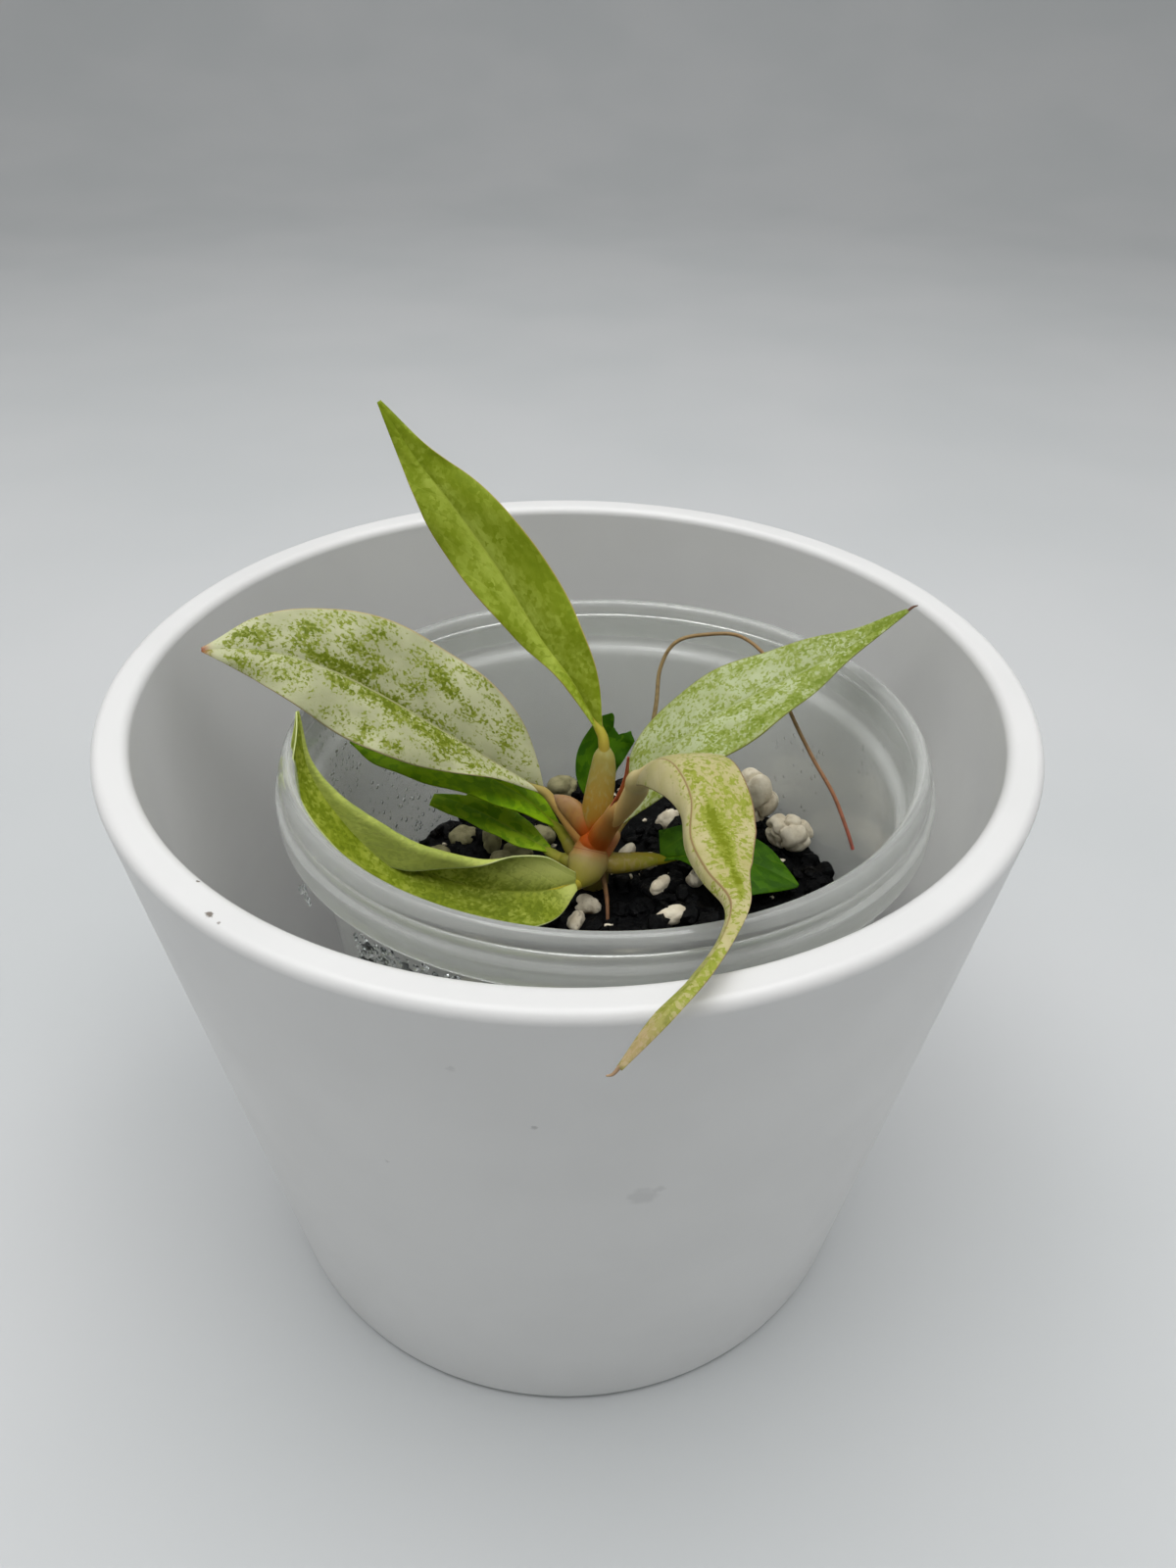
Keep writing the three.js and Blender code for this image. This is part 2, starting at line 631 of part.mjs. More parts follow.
function bareSphere(detail) {
  const geometry = new THREE.IcosahedronGeometry(1, detail);
  geometry.deleteAttribute('normal');
  geometry.deleteAttribute('uv');
  return geometry;
}

// The bent middle surface of a leaf as rows of points, each row from left edge to right edge
function bladeRows(leaf) {
  const columns = [];
  for (let c = -BLADE_COLUMNS; c <= BLADE_COLUMNS; c += 1) {
    columns.push(c / BLADE_COLUMNS);
  }
  const rows = [];
  for (let i = 0; i <= BLADE_ROWS; i += 1) {
    rows.push(columns.map((out, c) => {
      const reach = leaf.reach ? leaf.reach[c] : 1;
      return bladePoint(leaf, (i / BLADE_ROWS) * reach, out);
    }));
  }
  return rows;
}

function bladePoint(leaf, t, out) {
  const centre = smooth(leaf.midrib, t);
  const ahead = smooth(leaf.midrib, Math.min(t + 0.01, 1)).sub(smooth(leaf.midrib, Math.max(t - 0.01, 0)));
  ahead.normalize();
  const side = v3(leaf.across);
  side.addScaledVector(ahead, -side.dot(ahead)).normalize();
  const up = side.clone().cross(ahead);
  const half = out < 0 ? leaf.left : leaf.right;
  const share = Math.abs(out);
  const lift = smooth(half.lift, t) * DEG;
  const curl = smooth(half.curl, t) * DEG || 1e-4;
  const bend = lift + curl * share;
  const flat = (Math.sin(bend) - Math.sin(lift)) / curl;
  const rise = (Math.cos(lift) - Math.cos(bend)) / curl;
  const width = smooth(half.width, t);
  const wave = Math.sin(RIPPLES_ALONG * t + RIPPLE_SHIFT * out);
  const ripple = leaf.wave * wave * share * share * Math.min(1, width / 4);
  centre.addScaledVector(side, Math.sign(out) * width * flat);
  return centre.addScaledVector(up, width * rise + ripple);
}

// A blade of even thickness round its middle surface, split into triangles alike on both faces
function bladeGeometry(leaf) {
  const rows = bladeRows(leaf);
  const last = rows.length - 1;
  const wide = rows[0].length - 1;
  const positions = [];
  for (const face of [1, -1]) {
    rows.forEach((row, i) => row.forEach((p, c) => {
      const along = rows[Math.min(i + 1, last)][c].clone().sub(rows[Math.max(i - 1, 0)][c]);
      const over = row[Math.min(c + 1, wide)].clone().sub(row[Math.max(c - 1, 0)]);
      const up = over.cross(along).normalize();
      const rib = c === wide / 2 && face < 0 ? MIDRIB_DEPTH * (1 - i / last) : 0;
      const q = p.clone().addScaledVector(up, face * (BLADE_THICKNESS / 2 + rib));
      positions.push([q.x, q.y, q.z]);
    }));
  }
  const under = rows.length * (wide + 1);
  const at = (i, c) => i * (wide + 1) + c;
  const triangles = [];
  for (let i = 0; i < last; i += 1) {
    for (let c = 0; c < wide; c += 1) {
      const [a, b, d, e] = [at(i, c), at(i, c + 1), at(i + 1, c), at(i + 1, c + 1)];
      triangles.push(a, b, d, b, e, d);
      triangles.push(under + a, under + d, under + b, under + b, under + d, under + e);
    }
  }
  const rim = [];
  for (let c = 0; c < wide; c += 1) {
    rim.push(at(0, c));
  }
  for (let i = 0; i < last; i += 1) {
    rim.push(at(i, wide));
  }
  for (let c = wide; c > 0; c -= 1) {
    rim.push(at(last, c));
  }
  for (let i = last; i > 0; i -= 1) {
    rim.push(at(i, 0));
  }
  rim.forEach((a, k) => {
    const b = rim[(k + 1) % rim.length];
    triangles.push(a, under + a, b, b, under + a, under + b);
  });
  return closedBody(positions, triangles);
}

// The stalk runs on a little way under the blade, where it thins into the midrib
function stalkGeometry(leaf) {
  const ribPoints = [0.03, 0.14].map((t) => bladePoint(leaf, t, 0).toArray());
  return taperedTube([...leaf.petiole, ...ribPoints], [...leaf.petioleRadii, 0.9, 0.5]);
}

function leafGeometry(leaf) {
  return fromSolid(mainBody(toSolid(bladeGeometry(leaf)).add(toSolid(stalkGeometry(leaf)))));
}

// A stretch of stalk or root, larger all round and at both ends by the gap, that cuts its seat
function seatCutter(points, radii) {
  const path = points.map(v3);
  const last = path.length - 1;
  path[0].addScaledVector(path[1].clone().sub(path[0]).normalize(), -GAP);
  path[last].addScaledVector(path[last].clone().sub(path[last - 1]).normalize(), GAP);
  return toSolid(taperedTube(path.map((p) => p.toArray()), radii.map((r) => r + GAP)));
}

function stemGeometry() {
  let solid = toSolid(taperedTube(STEM.points, STEM.radii));
  for (const sheath of SHEATHS) {
    solid = solid.add(toSolid(taperedTube(sheath.points, sheath.radii)));
  }
  for (const leaf of Object.values(LEAVES)) {
    solid = solid.subtract(seatCutter(leaf.petiole, leaf.petioleRadii));
  }
  for (const root of Object.values(ROOTS)) {
    solid = solid.subtract(seatCutter(root.points, root.radii));
  }
  return fromSolid(mainBody(solid));
}

function buildPart() {
  const group = new THREE.Group();
  const addMesh = (name, geometry, look) => {
    const mesh = new THREE.Mesh(geometry, look);
    mesh.name = name;
    group.add(mesh);
  };

  addMesh('pot', potGeometry(), material(0xf1f1f2, 0.42));
  addMesh('cup', cupGeometry(), material(0xc9d2d3, 0.25));

  let soil = toSolid(soilGeometry());
  soil = soil.subtract(seatCutter(STEM.points, STEM.radii));
  const random = makeRandom(SEED + 1);
  PERLITE.forEach((lump, i) => {
    const seed = Math.floor(random() * 1e6);
    const name = `perlite_${String(i + 1).padStart(2, '0')}`;
    addMesh(name, lumpGeometry(lump, makeRandom(seed), 0), material(0xe6e1d8, 0.9));
    soil = soil.subtract(toSolid(lumpGeometry(lump, makeRandom(seed), GAP)));
  });
  soil = soil.subtract(seatCutter(ROOTS.soil_root.points, ROOTS.soil_root.radii));
  addMesh('soil', fromSolid(mainBody(soil)), material(0x15191a, 0.7));

  addMesh('stem', stemGeometry(), material(0xd98a55, 0.5));
  for (const [name, leaf] of Object.entries(LEAVES)) {
    addMesh(name, leafGeometry(leaf), material(leaf.colour, 0.45));
  }
  for (const [name, root] of Object.entries(ROOTS)) {
    addMesh(name, taperedTube(root.points, root.radii), material(root.colour, 0.6));
  }
  return group;
}

export default buildPart();
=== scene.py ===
"""Potted philodendron with slim cream and green leaves, in a clear cup inside a white pot.

Each sub-assembly is a class that keeps its sizes in millimetres, as a maker would give them, and
builds its meshes in metres, +Z up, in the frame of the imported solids.
"""

import logging
import math
from collections.abc import Sequence
from dataclasses import dataclass
from enum import Enum

import bmesh
import bpy
import numpy as np
from mathutils import Matrix, Vector, noise


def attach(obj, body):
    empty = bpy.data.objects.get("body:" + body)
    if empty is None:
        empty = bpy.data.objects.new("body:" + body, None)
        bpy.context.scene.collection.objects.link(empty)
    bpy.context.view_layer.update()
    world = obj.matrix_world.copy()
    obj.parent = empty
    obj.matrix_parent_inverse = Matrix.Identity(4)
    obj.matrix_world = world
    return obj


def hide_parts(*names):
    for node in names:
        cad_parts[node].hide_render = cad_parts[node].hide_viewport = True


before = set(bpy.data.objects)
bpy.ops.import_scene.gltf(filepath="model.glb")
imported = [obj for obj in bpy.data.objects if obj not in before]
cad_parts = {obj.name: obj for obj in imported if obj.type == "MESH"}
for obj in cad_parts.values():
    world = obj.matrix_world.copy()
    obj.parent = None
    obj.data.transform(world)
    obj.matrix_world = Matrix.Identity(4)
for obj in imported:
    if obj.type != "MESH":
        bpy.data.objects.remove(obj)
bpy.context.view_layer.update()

LOG = logging.getLogger("potted_philodendron")
MM = 0.001
BODY = "root"

Pair = tuple[float, float]
Point = tuple[float, float, float]
Path = tuple[Point, ...]
Row = tuple[float, ...]
Faces = list[tuple[int, ...]]
Marks = dict[str, np.ndarray]
Socket = bpy.types.NodeSocket
Feed = Socket | float | tuple[float, ...]


# Numbers and curves


class Dice:
    """A repeatable row of random numbers from 0 to 1."""

    STEP = 1664525
    SHIFT = 1013904223
    SPAN = 4294967296

    def __init__(self, seed: int) -> None:
        """Starts the row at a whole number."""
        self.state = seed

    def roll(self) -> float:
        """The next number, from 0 to 1."""
        self.state = (self.state * self.STEP + self.SHIFT) % self.SPAN
        return self.state / self.SPAN

    def between(self, low: float, high: float) -> float:
        """The next number, from low to high."""
        return low + (high - low) * self.roll()

    def angle(self) -> float:
        """The next number, as an angle of up to a full turn in radians."""
        return self.roll() * 2 * math.pi


def smooth(values: Sequence[float] | Path, t: np.ndarray | float) -> np.ndarray:
    """A smooth run through evenly spaced numbers or points.

    Args:
        values: The numbers or points, first to last.
        t: Where along the run to read it, from 0 to 1, in an array of any shape.

    Returns:
        An array of the shape of t, with a last axis of 3 where values are points.
    """
    points = np.asarray(values, float)
    last = len(points) - 1
    along = np.clip(np.asarray(t, float), 0.0, 1.0) * last
    i = np.minimum(along.astype(int), last - 1)
    f = along - i
    before, after = 2 * points[0] - points[1], 2 * points[-1] - points[-2]
    padded = np.concatenate([[before], points, [after]])
    a, b, c, d = (padded[i + k] for k in range(4))
    if points.ndim == 2:
        f = f[..., None]
    square = (2 * a - 5 * b + 4 * c - d) * f**2
    cube = (3 * b - a - 3 * c + d) * f**3
    return 0.5 * (2 * b + (c - a) * f + square + cube)


def unit(vectors: np.ndarray) -> np.ndarray:
    """The same directions with length 1."""
    nearly_none = 1e-12
    return vectors / np.maximum(np.linalg.norm(vectors, axis=-1, keepdims=True), nearly_none)


def heading(points: Path, t: np.ndarray) -> np.ndarray:
    """The direction in which a smooth line runs at each place along it."""
    reach = 0.01
    return unit(smooth(points, np.minimum(t + reach, 1)) - smooth(points, np.maximum(t - reach, 0)))


def bell(distance: np.ndarray, width: float) -> np.ndarray:
    """A soft hump: 1 where the distance is 0, and fading over the width."""
    return np.exp(-((distance / width) ** 2))


def colour(text: str) -> tuple[float, float, float, float]:
    """A linear colour with alpha from six hex digits, such as "e6e1d8".

    Args:
        text: The six digits.

    Returns:
        Its four channels, from 0 to 1.
    """
    channels = [int(text[i : i + 2], 16) / 255 for i in (0, 2, 4)]
    linear = [c / 12.92 if c <= 0.04045 else ((c + 0.055) / 1.055) ** 2.4 for c in channels]
    return (linear[0], linear[1], linear[2], 1.0)


def rounded(profile: Sequence[Pair], radius: float, steps: int) -> list[Pair]:
    """A profile with its inner corners rounded off.

    Args:
        profile: Points of an open line, in millimetres.
        radius: How far from each corner its rounding starts, in millimetres.
        steps: The number of spans across each rounding.

    Returns:
        The points of the rounded line.
    """
    most_of_a_side = 0.45
    points = [Vector(p) for p in profile]
    made = [profile[0]]
    for before, corner, after in zip(points, points[1:], points[2:]):
        shorter = min((corner - before).length, (after - corner).length)
        reach = min(radius, most_of_a_side * shorter)
        start = corner + (before - corner).normalized() * reach
        end = corner + (after - corner).normalized() * reach
        for k in range(steps + 1):
            s = k / steps
            made.append(tuple(start * (1 - s) ** 2 + corner * 2 * s * (1 - s) + end * s**2))
    return [*made, profile[-1]]


# Meshes


@dataclass
class Shell:
    """Points in millimetres and the faces between them, joined up from several parts."""

    points: np.ndarray
    faces: Faces

    @classmethod
    def joined(cls, parts: Sequence["Shell"]) -> "Shell":
        """One shell that holds all the parts, in their order.

        Args:
            parts: The shells.

        Returns:
            The joined shell.
        """
        faces: Faces = []
        start = 0
        for part in parts:
            faces += [tuple(i + start for i in face) for face in part.faces]
            start += len(part.points)
        return cls(np.concatenate([part.points for part in parts]), faces)

    def moved(self, matrix: Matrix) -> "Shell":
        """The shell with its points put through a matrix that works in millimetres."""
        m = np.array(matrix)
        return Shell(self.points @ m[:3, :3].T + m[:3, 3], self.faces)

    def piece(self, name: str, material: bpy.types.Material, flat: bool = False) -> bpy.types.Object:
        """Makes the mesh object.

        Args:
            name: The piece's plain name.
            material: The finish that covers it.
            flat: True for facets, False for smooth shading.

        Returns:
            The object, linked to the scene, in metres.
        """
        mesh = bpy.data.meshes.new(name)
        mesh.from_pydata((self.points * MM).tolist(), [], self.faces)
        mesh.update()
        if flat:
            mesh.shade_flat()
        else:
            mesh.shade_smooth()
        mesh.materials.append(material)
        made = bpy.data.objects.new(name, mesh)
        bpy.context.scene.collection.objects.link(made)
        return made


def place(piece: bpy.types.Object, slot: str, *nodes: str) -> None:
    """Rides a piece on the part, logs its slot and hides the solids that it stands for.

    Args:
        piece: The finished piece.
        slot: The record's material slot.
        *nodes: The CAD nodes that the piece stands for.
    """
    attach(piece, BODY)
    if nodes:
        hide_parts(*nodes)
    LOG.info("%s: %d faces, slot %s", piece.name, len(piece.data.polygons), slot)


def mark(piece: bpy.types.Object, name: str, values: np.ndarray) -> None:
    """Writes one number or vector for each point of a piece, for its material to read.

    Args:
        piece: The finished piece.
        name: What its material calls the mark.
        values: One row for each point.
    """
    kind, field = ("FLOAT_VECTOR", "vector") if values.ndim > 1 else ("FLOAT", "value")
    layer = piece.data.attributes.new(name, kind, "POINT")
    layer.data.foreach_set(field, np.ascontiguousarray(values, np.float32).ravel())


def ring_faces(count: int, sides: int) -> Faces:
    """Faces of a body of rings that is closed at both ends.

    Args:
        count: The number of rings. Their points come first, and then the two ends' middles.
        sides: The points in each ring.

    Returns:
        The faces, facing out where the rings run up and turn to the left.
    """
    first, last = count * sides, count * sides + 1
    top = (count - 1) * sides
    faces: Faces = []
    for k in range(sides):
        after = (k + 1) % sides
        faces.append((first, after, k))
        faces.append((last, top + k, top + after))
        for i in range(count - 1):
            a, b = i * sides + k, i * sides + after
            faces.append((a, b, b + sides, a + sides))
    return faces


def lathe(profile: Sequence[Pair], sides: int) -> Shell:
    """A body turned about Z from (radius, height) pairs that start and end on the axis.

    Args:
        profile: The pairs, in millimetres.
        sides: Faces round it.

    Returns:
        The closed body.
    """
    angles = np.linspace(0, 2 * math.pi, sides, endpoint=False)
    body = np.array(profile[1:-1])
    across, along = body[:, None, 0] * np.cos(angles), body[:, None, 0] * np.sin(angles)
    heights = np.broadcast_to(body[:, None, 1], across.shape)
    rings = np.stack([across, along, heights], axis=-1).reshape(-1, 3)
    ends = np.array([[0, 0, profile[0][1]], [0, 0, profile[-1][1]]])
    return Shell(np.concatenate([rings, ends]), ring_faces(len(body), sides))


def tube(points: Path, radii: Row, sides: int, rows: int, flatten: float = 1.0) -> tuple[Shell, np.ndarray]:
    """A closed round tube along a smooth line.

    Args:
        points: The line's points, in millimetres.
        radii: Its radius at evenly spaced places.
        sides: Faces round it.
        rows: Spans along it.
        flatten: The tube's thickness across as a share of its width.

    Returns:
        The shell, and how far along the line each of its points lies, from 0 to 1.
    """
    t = np.linspace(0, 1, rows + 1)
    centre = smooth(points, t)
    ahead = heading(points, t)
    nearly_x = 0.8
    side = np.array([1.0, 0, 0]) if abs(ahead[0][0]) < nearly_x else np.array([0, 1.0, 0])
    angles = np.linspace(0, 2 * math.pi, sides, endpoint=False)[:, None]
    rings = []
    for i in range(rows + 1):
        side = unit(side - ahead[i] * (side @ ahead[i]))
        other = np.cross(ahead[i], side)
        radius = float(smooth(radii, t[i]))
        wide, high = radius * np.cos(angles) * side, radius * flatten * np.sin(angles) * other
        rings.append(centre[i] + wide + high)
    made = Shell(np.concatenate([*rings, centre[:1], centre[-1:]]), ring_faces(rows + 1, sides))
    return made, np.concatenate([np.repeat(t, sides), [0.0, 1.0]])


def ball(detail: int) -> Shell:
    """A unit sphere of even triangles, split as often as detail says.

    Args:
        detail: 1 for twenty faces, and one more for each split.

    Returns:
        The sphere.
    """
    made = bmesh.new()
    bmesh.ops.create_icosphere(made, subdivisions=detail, radius=1.0)
    points = np.array([v.co[:] for v in made.verts])
    faces = [tuple(v.index for v in face.verts) for face in made.faces]
    made.free()
    return Shell(points, faces)


# Finishes


@dataclass(frozen=True)
class Grain:
    """Soft noise: the size of its features in millimetres, how fine its detail is and how rough."""

    size: float
    detail: float = 2.0
    rough: float = 0.5


@dataclass(frozen=True)
class Mottle(Grain):
    """Soft noise put through a step, so that it is 0 up to low and 1 from high."""

    low: float = 0.0
    high: float = 1.0


@dataclass(frozen=True)
class Relief(Grain):
    """Soft noise that raises a surface: at most its depth in millimetres, and how strongly."""

    depth: float = 0.1
    strength: float = 1.0


class Board:
    """A material's nodes round one Principled shader, with short ways to add and join them."""

    def __init__(self, name: str) -> None:
        """Starts a material with its shader joined to the output.

        Args:
            name: The material's name.
        """
        self.material = bpy.data.materials.new(name)
        self.material.use_nodes = True
        self.tree = self.material.node_tree
        self.tree.nodes.clear()
        self.output = self.node("ShaderNodeOutputMaterial")
        self.shader = self.node("ShaderNodeBsdfPrincipled")
        self.feed(self.output.inputs["Surface"], self.shader.outputs["BSDF"])

    def node(self, kind: str, **settings: object) -> bpy.types.Node:
        """Adds a node and sets its options.

        Args:
            kind: Blender's name for its type.
            **settings: Its options.

        Returns:
            The node.
        """
        made = self.tree.nodes.new(kind)
        for key, value in settings.items():
            setattr(made, key, value)
        return made

    def feed(self, socket: Socket, value: Feed) -> None:
        """Joins another socket to an input, or sets the input to a plain value.

        Args:
            socket: The input.
            value: The other socket or the plain value.
        """
        if isinstance(value, Socket):
            self.tree.links.new(value, socket)
        else:
            socket.default_value = value

    def fill(self, node: bpy.types.Node, inputs: Sequence[int | str], *values: Feed) -> bpy.types.Node:
        """Feeds the inputs of a node, in the order that they are named.

        Args:
            node: The node.
            inputs: The inputs' numbers or names.
            *values: What goes into each.

        Returns:
            The same node.
        """
        for key, value in zip(inputs, values, strict=True):
            self.feed(node.inputs[key], value)
        return node

    def set(self, **values: Feed) -> None:
        """Feeds the shader's inputs, named with underscores for spaces."""
        for name, value in values.items():
            self.feed(self.shader.inputs[name.replace("_", " ")], value)

    def where(self) -> Socket:
        """The piece's own coordinates, in metres."""
        return self.node("ShaderNodeTexCoord").outputs["Object"]

    def read(self, name: str, field: str = "Fac") -> Socket:
        """A number that was marked on the piece's points, or its vector where the field says so."""
        return self.node("ShaderNodeAttribute", attribute_name=name).outputs[field]

    def reckon(self, how: str, first: Feed, second: Feed) -> Socket:
        """One step of arithmetic on two numbers."""
        return self.fill(self.node("ShaderNodeMath", operation=how), (0, 1), first, second).outputs[0]

    def plus(self, first: Feed, second: Feed) -> Socket:
        """Two numbers added."""
        return self.reckon("ADD", first, second)

    def minus(self, first: Feed, second: Feed) -> Socket:
        """The first number less the second."""
        return self.reckon("SUBTRACT", first, second)

    def times(self, first: Feed, second: Feed) -> Socket:
        """Two numbers multiplied."""
        return self.reckon("MULTIPLY", first, second)

    def between(self, share: Feed, low: float, high: float) -> Socket:
        """A number that goes from low to high as the share goes from 0 to 1."""
        return self.plus(self.times(share, high - low), low)

    def stretched(self, vector: Socket, scale: Point) -> Socket:
        """A vector with each of its parts multiplied."""
        made = self.node("ShaderNodeVectorMath", operation="MULTIPLY")
        return self.fill(made, (0, 1), vector, scale).outputs[0]

    def noise(self, vector: Socket, grain: Grain) -> Socket:
        """Soft noise, from 0 to 1.

        Args:
            vector: Where it is read.
            grain: Its size and detail.

        Returns:
            The noise.
        """
        made = self.node("ShaderNodeTexNoise")
        inputs = ("Vector", "Scale", "Detail", "Roughness")
        values = (vector, 1 / (grain.size * MM), grain.detail, grain.rough)
        return self.fill(made, inputs, *values).outputs["Fac"]

    def mottle(self, vector: Socket, mottle: Mottle) -> Socket:
        """Soft noise put through its step, from 0 to 1."""
        return self.step(self.noise(vector, mottle), mottle.low, mottle.high)

    def cells(self, vector: Socket, size: float) -> Socket:
        """A random colour for each of many scattered cells of about the size in millimetres."""
        made = self.node("ShaderNodeTexVoronoi")
        return self.fill(made, ("Vector", "Scale"), vector, 1 / (size * MM)).outputs["Color"]

    def shaken(self, vector: Socket, size: float, reach: float) -> Socket:
        """A vector moved about by noise, so that patterns on it lose their order.

        Args:
            vector: The vector.
            size: The size of the noise in millimetres.
            reach: How far it moves the vector, in millimetres.

        Returns:
            The moved vector.
        """
        made = self.fill(self.node("ShaderNodeTexNoise"), ("Vector", "Scale"), vector, 1 / (size * MM))
        add = self.node("ShaderNodeVectorMath", operation="MULTIPLY_ADD")
        return self.fill(add, (0, 1, 2), made.outputs["Color"], (reach * MM,) * 3, vector).outputs[0]

    def step(self, value: Feed, low: float, high: float) -> Socket:
        """0 below low, 1 above high and a smooth step between them."""
        made = self.node("ShaderNodeMapRange", interpolation_type="SMOOTHSTEP")
        return self.fill(made, ("Value", "From Min", "From Max"), value, low, high).outputs["Result"]

    def blend(self, share: Feed, first: Feed, second: Feed) -> Socket:
        """A colour between two others.

        Args:
            share: 0 for the first and 1 for the second.
            first: One colour.
            second: The other.

        Returns:
            The colour between them.
        """
        share_and_colours = (0, 6, 7)
        made = self.node("ShaderNodeMix", data_type="RGBA")
        return self.fill(made, share_and_colours, share, first, second).outputs[2]

    def cover(self, share: Feed, base: Feed, tone: str) -> Socket:
        """A colour with a tone of six hex digits laid over it."""
        return self.blend(share, base, colour(tone))

    def ramp(self, value: Socket, *stops: tuple[float, str]) -> Socket:
        """A colour that runs through named stops as the value rises.

        Args:
            value: The number that picks the colour.
            *stops: Places from 0 to 1, each with six hex digits.

        Returns:
            The colour.
        """
        made = self.fill(self.node("ShaderNodeValToRGB"), ("Fac",), value)
        bar = made.color_ramp
        while len(bar.elements) < len(stops):
            bar.elements.new(0.5)
        for element, (position, text) in zip(bar.elements, stops):
            element.position = position
            element.color = colour(text)
        return made.outputs["Color"]

    def bump(self, height: Socket, depth: float, strength: float) -> None:
        """Raises the surface by a height from 0 to 1, at most depth millimetres.

        Args:
            height: The height.
            depth: How far it rises at most.
            strength: How much of it shows.
        """
        made = self.node("ShaderNodeBump")
        self.fill(made, ("Strength", "Distance", "Height"), strength, depth * MM, height)
        self.set(Normal=made.outputs["Normal"])

    def relief(self, vector: Socket, relief: Relief) -> None:
        """Raises the surface by soft noise."""
        self.bump(self.noise(vector, relief), relief.depth, relief.strength)

    def let_lamps_through(self) -> None:
        """Lets lamplight pass straight through the shader, as thin clear plastic does."""
        clear = self.node("ShaderNodeBsdfTransparent").outputs["BSDF"]
        shade = self.node("ShaderNodeLightPath").outputs["Is Shadow Ray"]
        mix = self.node("ShaderNodeMixShader")
        self.fill(mix, (0, 1, 2), shade, self.shader.outputs["BSDF"], clear)
        self.feed(self.output.inputs["Surface"], mix.outputs[0])


@dataclass(frozen=True)
class Blemish:
    """A small stain: its middle in millimetres, its radius, how strong it is and how ragged."""

    place: Point
    radius: float
    strength: float
    ragged: float = 0.5


@dataclass(frozen=True)
class WhiteCeramic:
    """Smooth white ceramic with a satin sheen, two crumbs of mix on its rim and faint scuffs."""

    body: str = "dededd"
    cloud: str = "dadad9"
    stain: str = "5b4c3c"
    scuff: str = "8c8c8c"
    roughness: Pair = (0.33, 0.43)
    clouds: Mottle = Mottle(30, 3, low=0.35, high=0.7)
    wear: Mottle = Mottle(12, 4, low=0.2, high=0.9)
    skin: Relief = Relief(1.6, 3, depth=0.03, strength=0.25)
    crumbs: tuple[Blemish, ...] = (
        Blemish((-46.5, -62.8, 126), 0.75, 0.85, 1.1),
        Blemish((-44.8, -64.4, 126), 0.35, 0.6),
        Blemish((-49.9, -56, 125.8), 0.4, 0.9),
        Blemish((-69.2, -41, 125.8), 0.25, 0.6),
    )
    scuffs: tuple[Blemish, ...] = (
        Blemish((12.4, -73, 80.6), 2.8, 0.22, 3.2),
        Blemish((15, -72.8, 82), 1.2, 0.2, 1.5),
        Blemish((-3.1, -76.6, 100.9), 0.6, 0.5, 0.8),
        Blemish((-13.7, -77.1, 113.1), 0.9, 0.2, 1.4),
        Blemish((-25.5, -69.9, 83.6), 0.5, 0.3, 0.8),
    )

    RAGGED_SIZE = 0.9
    SOLID_SHARE = 0.4
    NOISE_MIDDLE = 0.5

    def material(self) -> bpy.types.Material:
        """The finish for the pot.

        Returns:
            The material.
        """
        board = Board("white_ceramic")
        where = board.where()
        base = board.blend(board.mottle(where, self.clouds), colour(self.body), colour(self.cloud))
        for tone, blemishes in ((self.stain, self.crumbs), (self.scuff, self.scuffs)):
            for blemish in blemishes:
                base = board.cover(self._shape(board, where, blemish), base, tone)
        board.set(
            Base_Color=base,
            Roughness=board.between(board.mottle(where, self.wear), *self.roughness),
            Specular_IOR_Level=0.45,
        )
        board.relief(where, self.skin)
        return board.material

    def _shape(self, board: Board, where: Socket, blemish: Blemish) -> Socket:
        """How much of a blemish shows at each place.

        Args:
            board: The finish's nodes.
            where: The pot's coordinates.
            blemish: The crumb or scuff.

        Returns:
            A share from 0 to its strength.
        """
        shift = self.NOISE_MIDDLE * blemish.ragged
        middle = tuple((value + shift) * MM for value in blemish.place)
        torn = board.shaken(where, self.RAGGED_SIZE * blemish.radius, blemish.ragged)
        measure = board.node("ShaderNodeVectorMath", operation="DISTANCE")
        distance = board.fill(measure, (0, 1), torn, middle).outputs["Value"]
        near = board.step(distance, blemish.radius * MM, self.SOLID_SHARE * blemish.radius * MM)
        return board.times(near, blemish.strength)


@dataclass(frozen=True)
class ClearPlastic:
    """Thin clear plastic with a milky haze and fine moulding marks."""

    tint: str = "e8eae7"
    clear: float = 0.78
    roughness: Pair = (0.13, 0.27)
    haze: Mottle = Mottle(9, 4, 0.6, low=0.3, high=0.8)
    skin: Relief = Relief(3.5, 3, depth=0.05, strength=0.3)

    def material(self) -> bpy.types.Material:
        """The finish for the cup.

        Returns:
            The material.
        """
        board = Board("clear_plastic")
        where = board.where()
        board.set(
            Base_Color=colour(self.tint),
            Transmission_Weight=self.clear,
            IOR=1.46,
            Roughness=board.between(board.mottle(where, self.haze), *self.roughness),
        )
        board.relief(where, self.skin)
        board.let_lamps_through()
        return board.material


@dataclass(frozen=True)
class Water:
    """Clear water drops."""

    tint: str = "f7fafa"
    skin: Relief = Relief(0.8, depth=0.02, strength=0.2)

    def material(self) -> bpy.types.Material:
        """The finish for drops on the cup's wall.

        Returns:
            The material.
        """
        board = Board("water")
        board.set(Base_Color=colour(self.tint), Transmission_Weight=1.0, IOR=1.33, Roughness=0.02)
        board.relief(board.where(), self.skin)
        board.let_lamps_through()
        return board.material


